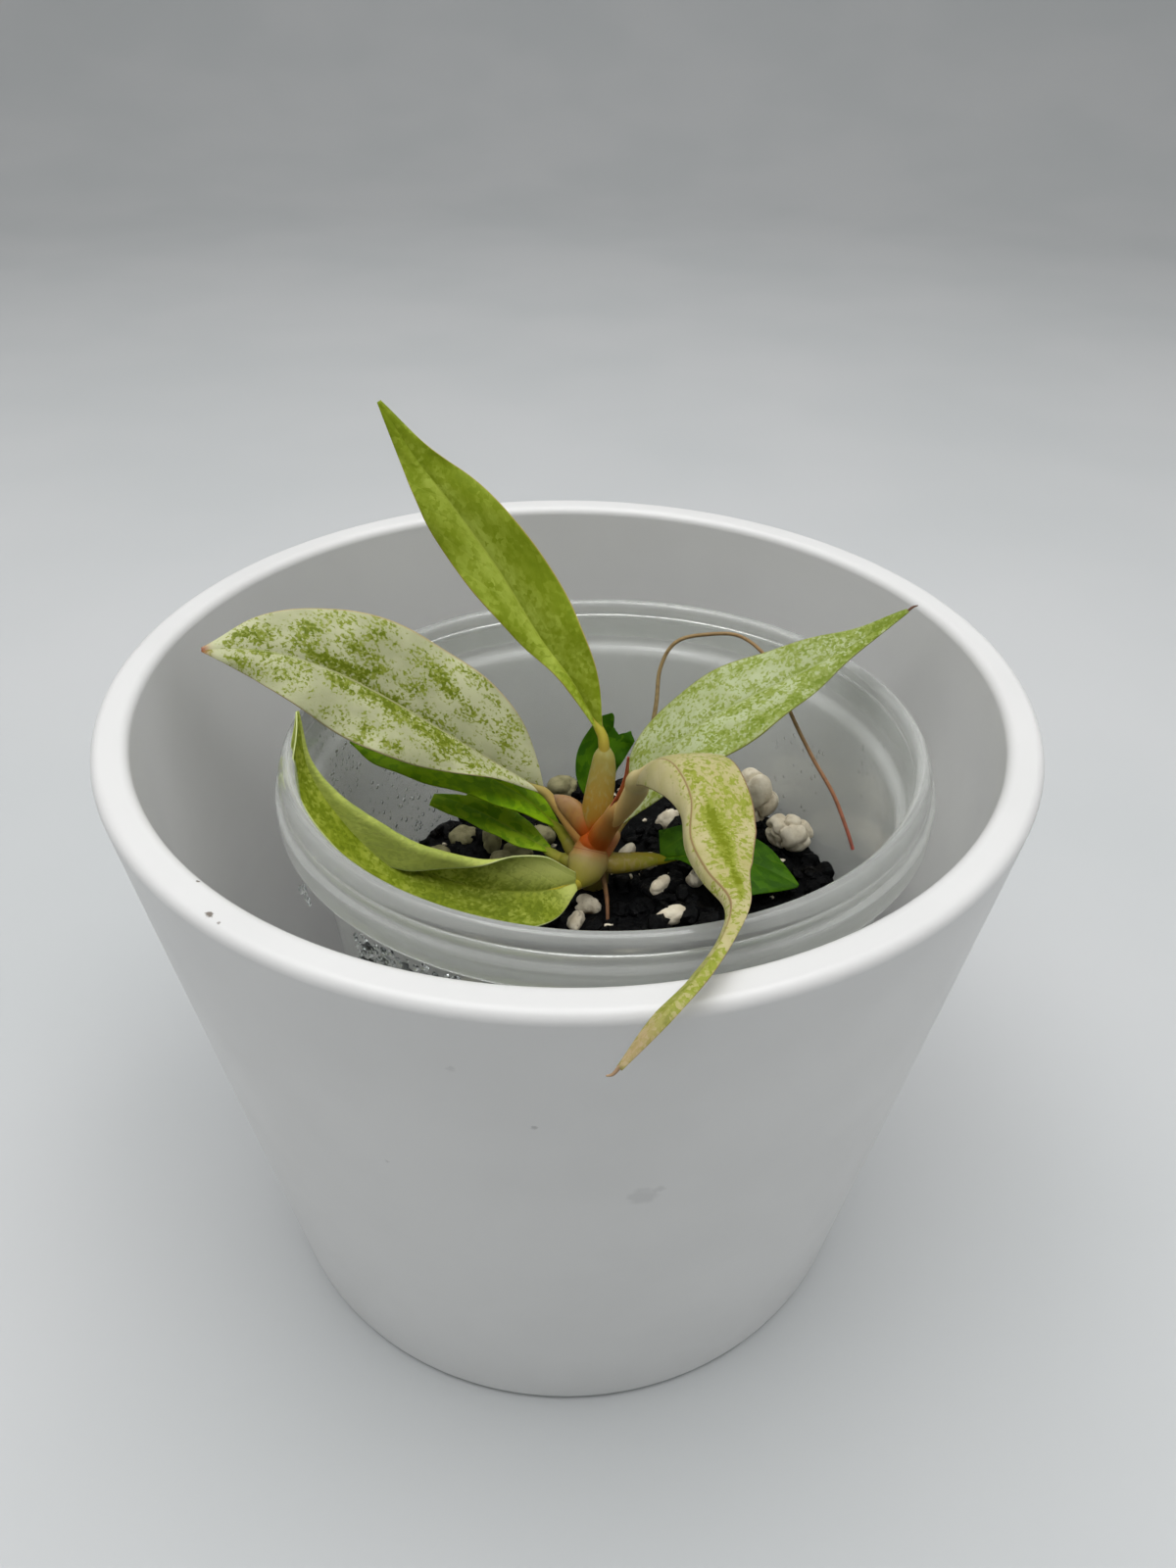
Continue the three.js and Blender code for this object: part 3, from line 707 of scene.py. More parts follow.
@dataclass(frozen=True)
class WetMix:
    """Black, wet growing mix of charcoal and bark, with a cool sheen."""

    dark: str = "010102"
    light: str = "07090a"
    warm: str = "0a0805"
    roughness: Pair = (0.38, 0.73)
    char: Mottle = Mottle(1.4, 4, 0.65, low=0.42, high=0.68)
    bark: Mottle = Mottle(5, low=0.55, high=0.72)
    wet: Mottle = Mottle(2.2, 3, low=0.35, high=0.65)
    skin: Relief = Relief(0.7, 5, 0.65, depth=0.5, strength=0.8)

    def material(self) -> bpy.types.Material:
        """The finish for the growing mix and its chips.

        Returns:
            The material.
        """
        board = Board("wet_mix")
        where = board.where()
        base = board.blend(board.mottle(where, self.char), colour(self.dark), colour(self.light))
        board.set(
            Base_Color=board.cover(board.mottle(where, self.bark), base, self.warm),
            Roughness=board.between(board.mottle(where, self.wet), *self.roughness),
            Specular_IOR_Level=0.12,
        )
        board.relief(where, self.skin)
        return board.material


@dataclass(frozen=True)
class ExpandedRock:
    """Matt off-white popcorn-like rock, with brown painted shade in its creases and underneath, and random
    brown stains.
    """

    name: str = "expanded_rock"
    pale: str = "ebe2cc"
    dull: str = "cec2a8"
    # The stain colour is both the painted shade in the creases and underneath and the random stains.
    stain: str = "75634a"
    clouds: Mottle = Mottle(2.4, 4, 0.6, low=0.35, high=0.7)
    wear: Grain = Grain(1.2, 3)
    wear_share: float = 0.35
    shade_and_stain: Pair = (0.62, 1.1)
    skin: Relief = Relief(0.45, 4, 0.7, depth=0.25, strength=0.7)

    def material(self) -> bpy.types.Material:
        """The finish for the pale lumps and grains.

        Returns:
            The material.
        """
        board = Board(self.name)
        where = board.where()
        base = board.blend(board.mottle(where, self.clouds), colour(self.pale), colour(self.dull))
        # Painted shade from the crease mark, which holds the creases and the underside, plus random stains
        # from noise.
        shade_and_stain = board.plus(board.read("crease"), board.times(board.noise(where, self.wear), self.wear_share))
        base = board.cover(board.step(shade_and_stain, *self.shade_and_stain), base, self.stain)
        board.set(Base_Color=base, Roughness=0.9, Specular_IOR_Level=0.25)
        board.relief(where, self.skin)
        return board.material


@dataclass(frozen=True)
class LeafFinish:
    """The colours and the fleck pattern of one leaf. Sizes are in millimetres."""

    name: str
    ground: str
    shade: str
    fleck: str
    deep: str
    rib: str
    margin: str
    stalk: str
    stalk_foot: str
    underside: str
    fleck_size: float = 0.9
    patch_size: float = 5.0
    fine: float = 0.7
    coarse: float = 1.4
    softness: float = 0.03
    tint_share: float = 0.35
    gloss: float = 0.2
    deep_from: float = 0.16
    underside_share: float = 0.8
    vein_share: float = 0.1
    vein_spacing: float = 3.4
    vein_depth: float = 0.3
    blush: str = "c08d80"

    CLOUDS = Mottle(7, 3, low=0.35, high=0.65)
    SHAKE = (0.8, 0.7)
    FLECK_DETAIL = (3, 0.6)
    PATCH_STRETCH = (0.6, 1.0, 1.0)
    TINTED = (-0.15, 0.3)
    RIB = (0.3, 1.0)
    MARGIN = (0.965, 0.995)
    STALK_CHANGE = 0.75
    SHEEN = Grain(1.5, 3)
    ROUGHNESS = (0.42, 0.62)
    SKIN = Grain(0.5, 3)
    SKIN_SHARE = 0.35
    SKIN_DEPTH = 0.09
    SKIN_STRENGTH = 0.6
    VEIN_BEND = Grain(12, 1)
    VEIN_BEND_SHARE = 0.8
    VEIN_WIDTH = 0.08

    def material(self) -> bpy.types.Material:
        """The finish for a leaf's blade and stalk.

        Returns:
            The material.
        """
        board = Board(self.name)
        flow = board.read("flow", "Vector")
        veins = self._veins(board, flow)
        base = self._upper_face(board, flow, veins)
        base = board.cover(board.times(board.read("face"), self.underside_share), base, self.underside)
        base = board.cover(board.step(board.read("rib"), *self.RIB), base, self.rib)
        # The blush colour lays tints at tips, bases and dry threads; on leaf_curled it is pale painted light
        # near the base.
        base = board.cover(board.read("blush"), base, self.blush)
        base = board.cover(board.step(board.read("edge"), *self.MARGIN), base, self.margin)
        along = board.read("stalk_along")
        stalk = board.ramp(along, (0.0, self.stalk_foot), (self.STALK_CHANGE, self.stalk))
        board.set(
            Base_Color=board.blend(board.read("stalk"), base, stalk),
            Roughness=board.between(board.noise(flow, self.SHEEN), *self.ROUGHNESS),
            Specular_IOR_Level=self.gloss,
            Subsurface_Weight=0.08,
            Subsurface_Radius=(0.6, 1.0, 0.25),
            Subsurface_Scale=0.001,
        )
        skin = board.times(board.noise(flow, self.SKIN), self.SKIN_SHARE)
        raised = board.minus(skin, board.times(veins, self.vein_depth))
        board.bump(raised, self.SKIN_DEPTH, self.SKIN_STRENGTH)
        return board.material

    def _upper_face(self, board: Board, flow: Socket, veins: Socket) -> Socket:
        """The colour of the blade's upper face, with its flecks and their darker middles.

        Args:
            board: The finish's nodes.
            flow: The patterns' coordinates.
            veins: The lines along the side veins.

        Returns:
            The colour.
        """
        shaken = board.shaken(flow, *self.SHAKE)
        fine = board.noise(shaken, Grain(self.fleck_size, *self.FLECK_DETAIL))
        mosaic = board.plus(board.cells(shaken, self.fleck_size), fine)
        patch = board.noise(board.stretched(flow, self.PATCH_STRETCH), Grain(self.patch_size))
        patch = board.plus(board.times(board.minus(patch, 0.5), self.coarse), board.read("green"))
        level = board.plus(board.times(board.minus(mosaic, 1.0), self.fine), patch)
        ground = board.blend(board.mottle(flow, self.CLOUDS), colour(self.ground), colour(self.shade))
        ground = board.cover(board.times(veins, self.vein_share), ground, self.rib)
        tint = board.times(board.step(patch, *self.TINTED), self.tint_share)
        ground = board.cover(tint, ground, self.fleck)
        flecked = board.cover(board.step(level, -self.softness, self.softness), ground, self.fleck)
        deep = board.step(level, self.deep_from - self.softness, self.deep_from + 2 * self.softness)
        return board.cover(deep, flecked, self.deep)

    def _veins(self, board: Board, flow: Socket) -> Socket:
        """Thin lines along the side veins: 1 on a vein and 0 between them.

        Args:
            board: The finish's nodes.
            flow: The patterns' coordinates.

        Returns:
            The lines.
        """
        phase = board.times(board.read("vein"), 1 / (self.vein_spacing * MM))
        phase = board.plus(phase, board.times(board.noise(flow, self.VEIN_BEND), self.VEIN_BEND_SHARE))
        return board.step(board.reckon("PINGPONG", phase, 0.5), self.VEIN_WIDTH, 0.0)


@dataclass(frozen=True)
class SheathFinish:
    """Waxy tissue of a sheath, from its foot to its tip, orange-red near the middle of the crown."""

    name: str
    foot: str
    middle: str
    tip: str
    rim: str
    heart: str = "a24402"
    heart_share: float = 0.9
    streak_share: float = 0.12

    DRIFT = Grain(2.5, 3)
    DRIFT_SHARE = 0.35
    STREAKS = Grain(0.8, 3)
    STREAK_STRETCH = (1.0, 1.0, 0.25)
    STREAKED = (0.45, 0.7)
    STREAK_DEPTH = 0.12
    STREAK_STRENGTH = 0.4
    HEART = (0.1, 0.95)
    RIM = (0.82, 1.0)

    def material(self) -> bpy.types.Material:
        """The finish for one sheath.

        Returns:
            The material.
        """
        board = Board(self.name)
        where = board.where()
        drift = board.times(board.minus(board.noise(where, self.DRIFT), 0.5), self.DRIFT_SHARE)
        along = board.plus(board.read("along"), drift)
        base = board.ramp(along, (0.0, self.foot), (0.5, self.middle), (1.0, self.tip))
        streaks = board.noise(board.stretched(where, self.STREAK_STRETCH), self.STREAKS)
        streaked = board.times(board.step(streaks, *self.STREAKED), self.streak_share)
        base = board.cover(streaked, base, self.rim)
        heart = board.step(board.plus(board.read("heart"), drift), *self.HEART)
        base = board.cover(board.times(heart, self.heart_share), base, self.heart)
        # The edge mark lays the rim colour: a wing's own rim, and on a sheath a line of painted shade.
        board.set(
            Base_Color=board.cover(board.step(board.read("edge"), *self.RIM), base, self.rim),
            Roughness=0.45,
            Specular_IOR_Level=0.22,
            Subsurface_Weight=0.12,
            Subsurface_Radius=(1.0, 0.5, 0.1),
            Subsurface_Scale=0.0008,
        )
        board.bump(streaks, self.STREAK_DEPTH, self.STREAK_STRENGTH)
        return board.material


@dataclass(frozen=True)
class RootFinish:
    """A dry brown root that turns red at its tip."""

    name: str
    foot: str
    middle: str
    tip: str

    STAIN = "5d4630"
    STAINS = Mottle(1.1, 4, low=0.45, high=0.7)
    STAIN_SHARE = 0.45
    SKIN = Relief(0.4, 3, depth=0.12, strength=0.6)
    MIDDLE = (0.55, 0.72)

    def material(self) -> bpy.types.Material:
        """The finish for one root.

        Returns:
            The material.
        """
        board = Board(self.name)
        where = board.where()
        middle = [(place_along, self.middle) for place_along in self.MIDDLE]
        base = board.ramp(board.read("along"), (0.0, self.foot), *middle, (1.0, self.tip))
        stains = board.times(board.mottle(where, self.STAINS), self.STAIN_SHARE)
        base = board.cover(stains, base, self.STAIN)
        board.set(Base_Color=base, Roughness=0.6, Specular_IOR_Level=0.35)
        board.relief(where, self.SKIN)
        return board.material


@dataclass(frozen=True)
class StudioPaper:
    """Plain pale paper under and behind the pot."""

    tone: str = "ced0d1"
    cloud: str = "c9cccd"
    clouds: Mottle = Mottle(160, low=0.3, high=0.7)

    def material(self) -> bpy.types.Material:
        """The finish for the floor sweep.

        Returns:
            The material.
        """
        board = Board("studio_paper")
        base = board.blend(board.mottle(board.where(), self.clouds), colour(self.tone), colour(self.cloud))
        board.set(Base_Color=base, Roughness=0.75, Specular_IOR_Level=0.2)
        return board.material


# The pot and the cup


@dataclass
class WhitePot:
    """The outer pot: a tapered ceramic wall with a thick round rim."""

    rim_radius: float = 80
    foot_radius: float = 63.4
    height: float = 126
    wall: float = 6
    floor: float = 5.8
    rim_round: float = 1.8
    foot_round: float = 2.5
    inner_fillet: float = 18
    sides: int = 224
    finish: WhiteCeramic = WhiteCeramic()

    FOOT_STEPS = 8
    CURVE_STEPS = 12

    def profile(self) -> list[Pair]:
        """The wall in section, from the middle of the foot out, over the rim and down inside.

        Returns:
            Pairs of radius and height, in millimetres.
        """
        slope = (self.rim_radius - self.foot_radius) / self.height
        inner_rim = self.rim_radius - self.wall
        fillet_top = self.floor + self.inner_fillet
        fillet_radius = inner_rim - slope * (self.height - fillet_top) - self.inner_fillet
        rim_top = self.height - self.rim_round
        foot = (self.foot_radius - self.foot_round, self.foot_round)
        outer = (self.rim_radius - self.rim_round, rim_top)
        inner = (inner_rim + self.rim_round, rim_top)
        return [
            (0, 0),
            *self._arc(foot, self.foot_round, -90, 0, self.FOOT_STEPS),
            *self._arc(outer, self.rim_round, 0, 90, self.CURVE_STEPS),
            *self._arc(inner, self.rim_round, 90, 180, self.CURVE_STEPS),
            *self._arc((fillet_radius, fillet_top), self.inner_fillet, 0, -90, self.CURVE_STEPS),
            (0, self.floor),
        ]

    @staticmethod
    def _arc(middle: Pair, radius: float, start: float, end: float, steps: int) -> list[Pair]:
        """Points along an arc of the section, angles in degrees from the outward direction."""
        angles = np.radians(np.linspace(start, end, steps + 1))
        return [(middle[0] + radius * math.cos(a), middle[1] + radius * math.sin(a)) for a in angles]

    def build(self) -> None:
        """Makes the pot in place of its solid."""
        pot = lathe(self.profile(), self.sides).piece("white_pot", self.finish.material())
        place(pot, "pot_ceramic", "pot")


@dataclass(frozen=True)
class DropZone:
    """A patch of drops on the cup.

    Angles are in degrees. Depths below the rim and sizes, the drops' radii, are in millimetres.
    """

    angles: Pair
    depths: Pair
    count: int
    sizes: Pair
    outside: bool = False


@dataclass
class ClearCup:
    """The clear cup with its turned lip, and the drops on its wall.

    Lip is the section of the turned lip: how far in from the rim's radius and how deep.
    """

    rim_radius: float = 58.5
    mouth_radius: float = 54.5
    body_radius: float = 52.5
    foot_radius: float = 43.4
    height: float = 108
    wall: float = 0.9
    shoulder: float = 11
    foot_round: float = 1.6
    corner_round: float = 0.8
    lip: tuple[Pair, ...] = ((1.5, 3.4), (0.9, 9.5), (0, 9.5), (0, 5.4), (0.9, 4.6), (1, 1.6), (1.9, 0.2))
    rim_centre: Point = (6.2, -1.7, 116.2)
    lean_back: float = 2.8
    lean_side: float = 0.7
    sides: int = 200
    finish: ClearPlastic = ClearPlastic()
    water: Water = Water()
    zones: tuple[DropZone, ...] = (
        DropZone((160, 174), (6, 22), 150, (0.12, 0.42)),
        DropZone((134, 160), (24, 52), 260, (0.12, 0.5)),
        DropZone((28, 44), (20, 40), 40, (0.14, 0.4)),
        DropZone((8, 16), (6, 22), 26, (0.12, 0.34)),
        DropZone((-131, -88), (10, 27), 1300, (0.3, 0.62), outside=True),
        DropZone((-149, -142), (10, 13), 4, (0.7, 1), outside=True),
    )
    seed: int = 41

    CORNER_STEPS = 4
    DROP_RINGS = 3
    DROP_SIDES = 9
    DROP_LONGEST = 1.35
    DROP_DOME = 0.55
    DROP_SINK = 0.03
    MOUTH_STEP = 0.2

    def frame(self) -> Matrix:
        """The cup's own frame in millimetres: +Z along its axis and the origin at its rim's centre.

        Returns:
            The matrix from that frame to the part's.
        """
        lean = Vector((-math.tan(math.radians(self.lean_side)), math.tan(math.radians(self.lean_back)), 1))
        up = lean.normalized()
        right = Vector((0, 1, 0)).cross(up).normalized()
        back = up.cross(right)
        turned = Matrix((right, back, up)).transposed().to_4x4()
        return Matrix.Translation(self.rim_centre) @ turned

    def wall_radius(self, depth: float) -> float:
        """The radius of the wall's inner face at a depth below the rim.

        Args:
            depth: The depth in millimetres.

        Returns:
            The radius in millimetres.
        """
        if depth < self.shoulder:
            return self.mouth_radius - self.MOUTH_STEP
        share = (depth - self.shoulder) / (self.height - self.shoulder)
        return self.body_radius + (self.foot_radius - self.body_radius) * share

    def profile(self) -> list[Pair]:
        """The wall in section, from the middle of the underside out, over the lip and down inside.

        Returns:
            Pairs of radius and height, in millimetres.
        """
        inner_floor = self.height - self.wall
        # The plain numbers are the moulding's own small steps, in millimetres
        section = [
            (0, self.height),
            (self.foot_radius - self.foot_round / 2, self.height),
            (self.foot_radius + self.wall, self.height - self.foot_round),
            (self.body_radius + self.wall, self.shoulder + self.wall),
            (self.mouth_radius + 0.5, self.shoulder - 1),
            (self.mouth_radius + 1.1, self.lip[0][1]),
            *((self.rim_radius - inward, depth) for inward, depth in self.lip),
            (self.mouth_radius + 0.9, 0),
            (self.mouth_radius, 0.9),
            (self.mouth_radius - 0.4, self.shoulder - 1.6),
            (self.body_radius, self.shoulder),
            (self.foot_radius, inner_floor - self.foot_round),
            (self.foot_radius - 1.4, inner_floor),
            (0, inner_floor),
        ]
        return rounded([(r, -depth) for r, depth in section], self.corner_round, self.CORNER_STEPS)

    def drops(self) -> Shell:
        """Low round drops on the wall, in the cup's own frame."""
        dice = Dice(self.seed)
        return Shell.joined([self._drop(zone, dice) for zone in self.zones for _ in range(zone.count)])

    def _drop(self, zone: DropZone, dice: Dice) -> Shell:
        """One drop of a zone: a low dome, a little longer down the wall than across it.

        Args:
            zone: Where it lies and how big it may be.
            dice: The random row that places it.

        Returns:
            The drop, in the cup's own frame.
        """
        angle = math.radians(dice.between(*zone.angles))
        depth = dice.between(*zone.depths)
        size = zone.sizes[0] + (zone.sizes[1] - zone.sizes[0]) * dice.roll() ** 2
        stretch = dice.between(1.0, self.DROP_LONGEST)
        radius = self.rim_radius if zone.outside else self.wall_radius(depth)
        out = np.array([math.cos(angle), math.sin(angle), 0.0])
        side = np.array([-math.sin(angle), math.cos(angle), 0.0])
        down = np.array([0.0, 0.0, -1.0])
        lift = out if zone.outside else -out
        dome = self.DROP_DOME * size
        rings, sides = self.DROP_RINGS, self.DROP_SIDES
        points = []
        for ring in range(rings):
            rise = math.radians(90 * ring / rings)
            for k in range(sides):
                a = 2 * math.pi * k / sides
                across = size * math.cos(rise) * math.cos(a)
                along = size * stretch * math.cos(rise) * math.sin(a)
                height = dome * math.sin(rise) - self.DROP_SINK
                points.append(side * across + down * along + lift * height)
        points.append(lift * dome)
        faces: Faces = [tuple(range(sides))]
        for k in range(sides):
            after = (k + 1) % sides
            for ring in range(rings - 1):
                a, b = ring * sides + k, ring * sides + after
                faces.append((a, a + sides, b + sides, b))
            top = (rings - 1) * sides
            faces.append((top + k, rings * sides, top + after))
        centre = out * radius + np.array([0.0, 0.0, -depth])
        return Shell(np.array(points) + centre, faces)

    def build(self) -> None:
        """Makes the cup in place of its solid, and its drops."""
        cup = lathe(self.profile(), self.sides).moved(self.frame())
        place(cup.piece("clear_cup", self.finish.material()), "cup_plastic", "cup")
        place(self.drops().moved(self.frame()).piece("water_drops", self.water.material()), "cup_plastic")


# The growing mix


@dataclass(frozen=True)
class Bits:
    """Loose bits on the mix: how many, their half lengths, and how far up they lie as a share of it."""

    count: int
    sizes: Pair
    raised: float

    MOST_MARGIN = 2.4
    SIZE_POWER = 1.6
    WIDTHS = (0.5, 0.95)
    HEIGHTS = (0.4, 0.8)
    NOISE_SPAN = 50
    NOISE_SCALE = 1.3
    SWELL = 0.85
    SWELL_CHANGE = 0.45
    SQUARENESS = 0.8
    TILT = 0.6

    def shape(self, core: Shell, dice: Dice) -> tuple[Shell, float]:
        """One broken bit round the origin, and its half length.

        Args:
            core: The unit sphere that it is made from.
            dice: The random row that shapes it.

        Returns:
            The bit and its half length in millimetres.
        """
        size = self.sizes[0] + (self.sizes[1] - self.sizes[0]) * dice.roll() ** self.SIZE_POWER
        axes = np.array([size, size * dice.between(*self.WIDTHS), size * dice.between(*self.HEIGHTS)])
        offset = Vector((dice.roll(), dice.roll(), dice.roll())) * self.NOISE_SPAN
        waves = [noise.noise(Vector(p) * self.NOISE_SCALE + offset) for p in core.points]
        swell = self.SWELL + self.SWELL_CHANGE * np.array(waves)
        blocky = np.sign(core.points) * np.abs(core.points) ** self.SQUARENESS
        turn = Matrix.Rotation(dice.angle(), 3, "Z")
        tilt = Matrix.Rotation(dice.between(-self.TILT, self.TILT), 3, "X")
        return Shell((blocky * swell[:, None] * axes) @ np.array(turn @ tilt).T, core.faces), size


@dataclass
class GrowingMix:
    """The black mix in the cup: a lumpy body, loose chips and small pale grains."""

    cup: ClearCup
    depth: float = 43
    rise_right: float = 0.04
    rise_back: float = 0.03
    lumps: int = 90
    lump_radius: float = 5
    lump_height: float = 3
    gap: float = 0.3
    seed: int = 20
    rings: int = 72
    sides: int = 220
    chips: Bits = Bits(620, (0.9, 3.2), 0.15)
    grains: Bits = Bits(150, (0.45, 1.3), 0.4)
    bits_seed: int = 77

    CLOD_SIZES = (0.6, 1.2)
    CLOD_HEIGHTS = (0.4, 1.0)
    CRUMB_SIZE = 2.6
    CRUMB_HEIGHT = 0.55
    CRUMB_FRACTAL = (0.7, 2.2, 3)
    EDGE_WIDTH = 3
    EDGE_DROP = 1.5

    def __post_init__(self) -> None:
        """Draws the clods that the solid has too."""
        dice = Dice(self.seed)
        self.clods = []
        for _ in range(self.lumps):
            radius = math.sqrt(dice.roll()) * self.cup.body_radius
            angle = dice.angle()
            size = self.lump_radius * dice.between(*self.CLOD_SIZES)
            height = self.lump_height * dice.between(*self.CLOD_HEIGHTS)
            self.clods.append((radius * math.cos(angle), radius * math.sin(angle), size, height))

    def height_at(self, x: np.ndarray | float, y: np.ndarray | float) -> np.ndarray:
        """Height of the mix over a place in the cup's own frame.

        Args:
            x: Places to the right, in millimetres.
            y: Places to the back.

        Returns:
            The heights in millimetres.
        """
        x, y = np.asarray(x, float), np.asarray(y, float)
        lift = np.zeros_like(x)
        for cx, cy, size, height in self.clods:
            distance = np.hypot(x - cx, y - cy) / size
            lift = np.maximum(lift, height * np.sqrt(np.clip(1 - distance**2, 0, 1)))
        return -self.depth - 1 + self.rise_right * x + self.rise_back * y + lift

    def level_at(self, x: float, y: float) -> float:
        """Height of the mix over a place in the part's own frame.

        Args:
            x: The place to the right, in millimetres.
            y: The place to the back.

        Returns:
            The height in millimetres.
        """
        to_part = self.cup.frame()
        local = to_part.inverted() @ Vector((x, y, self.cup.rim_centre[2] - self.depth))
        local.z = float(self.height_at(local.x, local.y))
        return (to_part @ local).z

    def body(self) -> Shell:
        """The body of the mix, in the cup's own frame.

        Returns:
            The closed body.
        """
        outer = self.cup.wall_radius(self.depth) - 3 * self.gap
        floor = -self.cup.height + self.cup.wall + self.gap
        profile = [(outer * ring / self.rings, 0.0) for ring in range(self.rings, 0, -1)]
        shell = lathe([(0, floor), (self.cup.foot_radius - 2, floor), *profile, (0, 0)], self.sides)
        points = shell.points
        top = np.ones(len(points), bool)
        top[: self.sides] = False
        top[-2] = False
        x, y = points[top, 0], points[top, 1]
        places = [Vector((a, b, 3.0)) / self.CRUMB_SIZE for a, b in zip(x, y)]
        crumbs = np.array([noise.fractal(p, *self.CRUMB_FRACTAL) for p in places])
        edge = np.clip((np.hypot(x, y) - outer + self.EDGE_WIDTH) / self.EDGE_WIDTH, 0, 1)
        points[top, 2] = self.height_at(x, y) + self.CRUMB_HEIGHT * crumbs - self.EDGE_DROP * edge
        return shell

    def scattered(self, bits: Bits, dice: Dice) -> Shell:
        """Bits that lie all over the mix, in the cup's own frame.

        Args:
            bits: Their kind and number.
            dice: The random row that lays them.

        Returns:
            All of them in one shell.
        """
        core = ball(2)
        made = []
        for _ in range(bits.count):
            reach = math.sqrt(dice.roll()) * (self.cup.wall_radius(self.depth) - bits.MOST_MARGIN)
            angle = dice.angle()
            bit, size = bits.shape(core, dice)
            x, y = reach * math.cos(angle), reach * math.sin(angle)
            z = float(self.height_at(x, y)) + size * bits.raised
            made.append(Shell(bit.points + np.array([x, y, z]), bit.faces))
        return Shell.joined(made)

    def build(self) -> None:
        """Makes the mix in place of its solid, with its chips and grains."""
        finish = WetMix().material()
        to_part = self.cup.frame()
        place(self.body().moved(to_part).piece("growing_mix", finish), "soil", "soil")
        dice = Dice(self.bits_seed)
        chips = self.scattered(self.chips, dice)
        place(chips.moved(to_part).piece("mix_chips", finish, flat=True), "soil")
        grains = self.scattered(self.grains, dice)
        pale = grains.moved(to_part).piece("pale_grains", ExpandedRock("grain_rock").material())
        # The small grains get no painted shade, only random stains.
        mark(pale, "crease", np.zeros(len(grains.points)))
        place(pale, "perlite")


@dataclass(frozen=True)
class Lump:
    """A pale lump: its place from above, its half sizes and its turn about the vertical in degrees."""

    x: float
    y: float
    size: Point
    turn: float


@dataclass(frozen=True)
class LumpKind:
    """How far a kind of lump stands up, how deep its creases are, how its knobs bulge, and its detail."""

    rise: float
    crease: float
    bulge: float
    detail: int


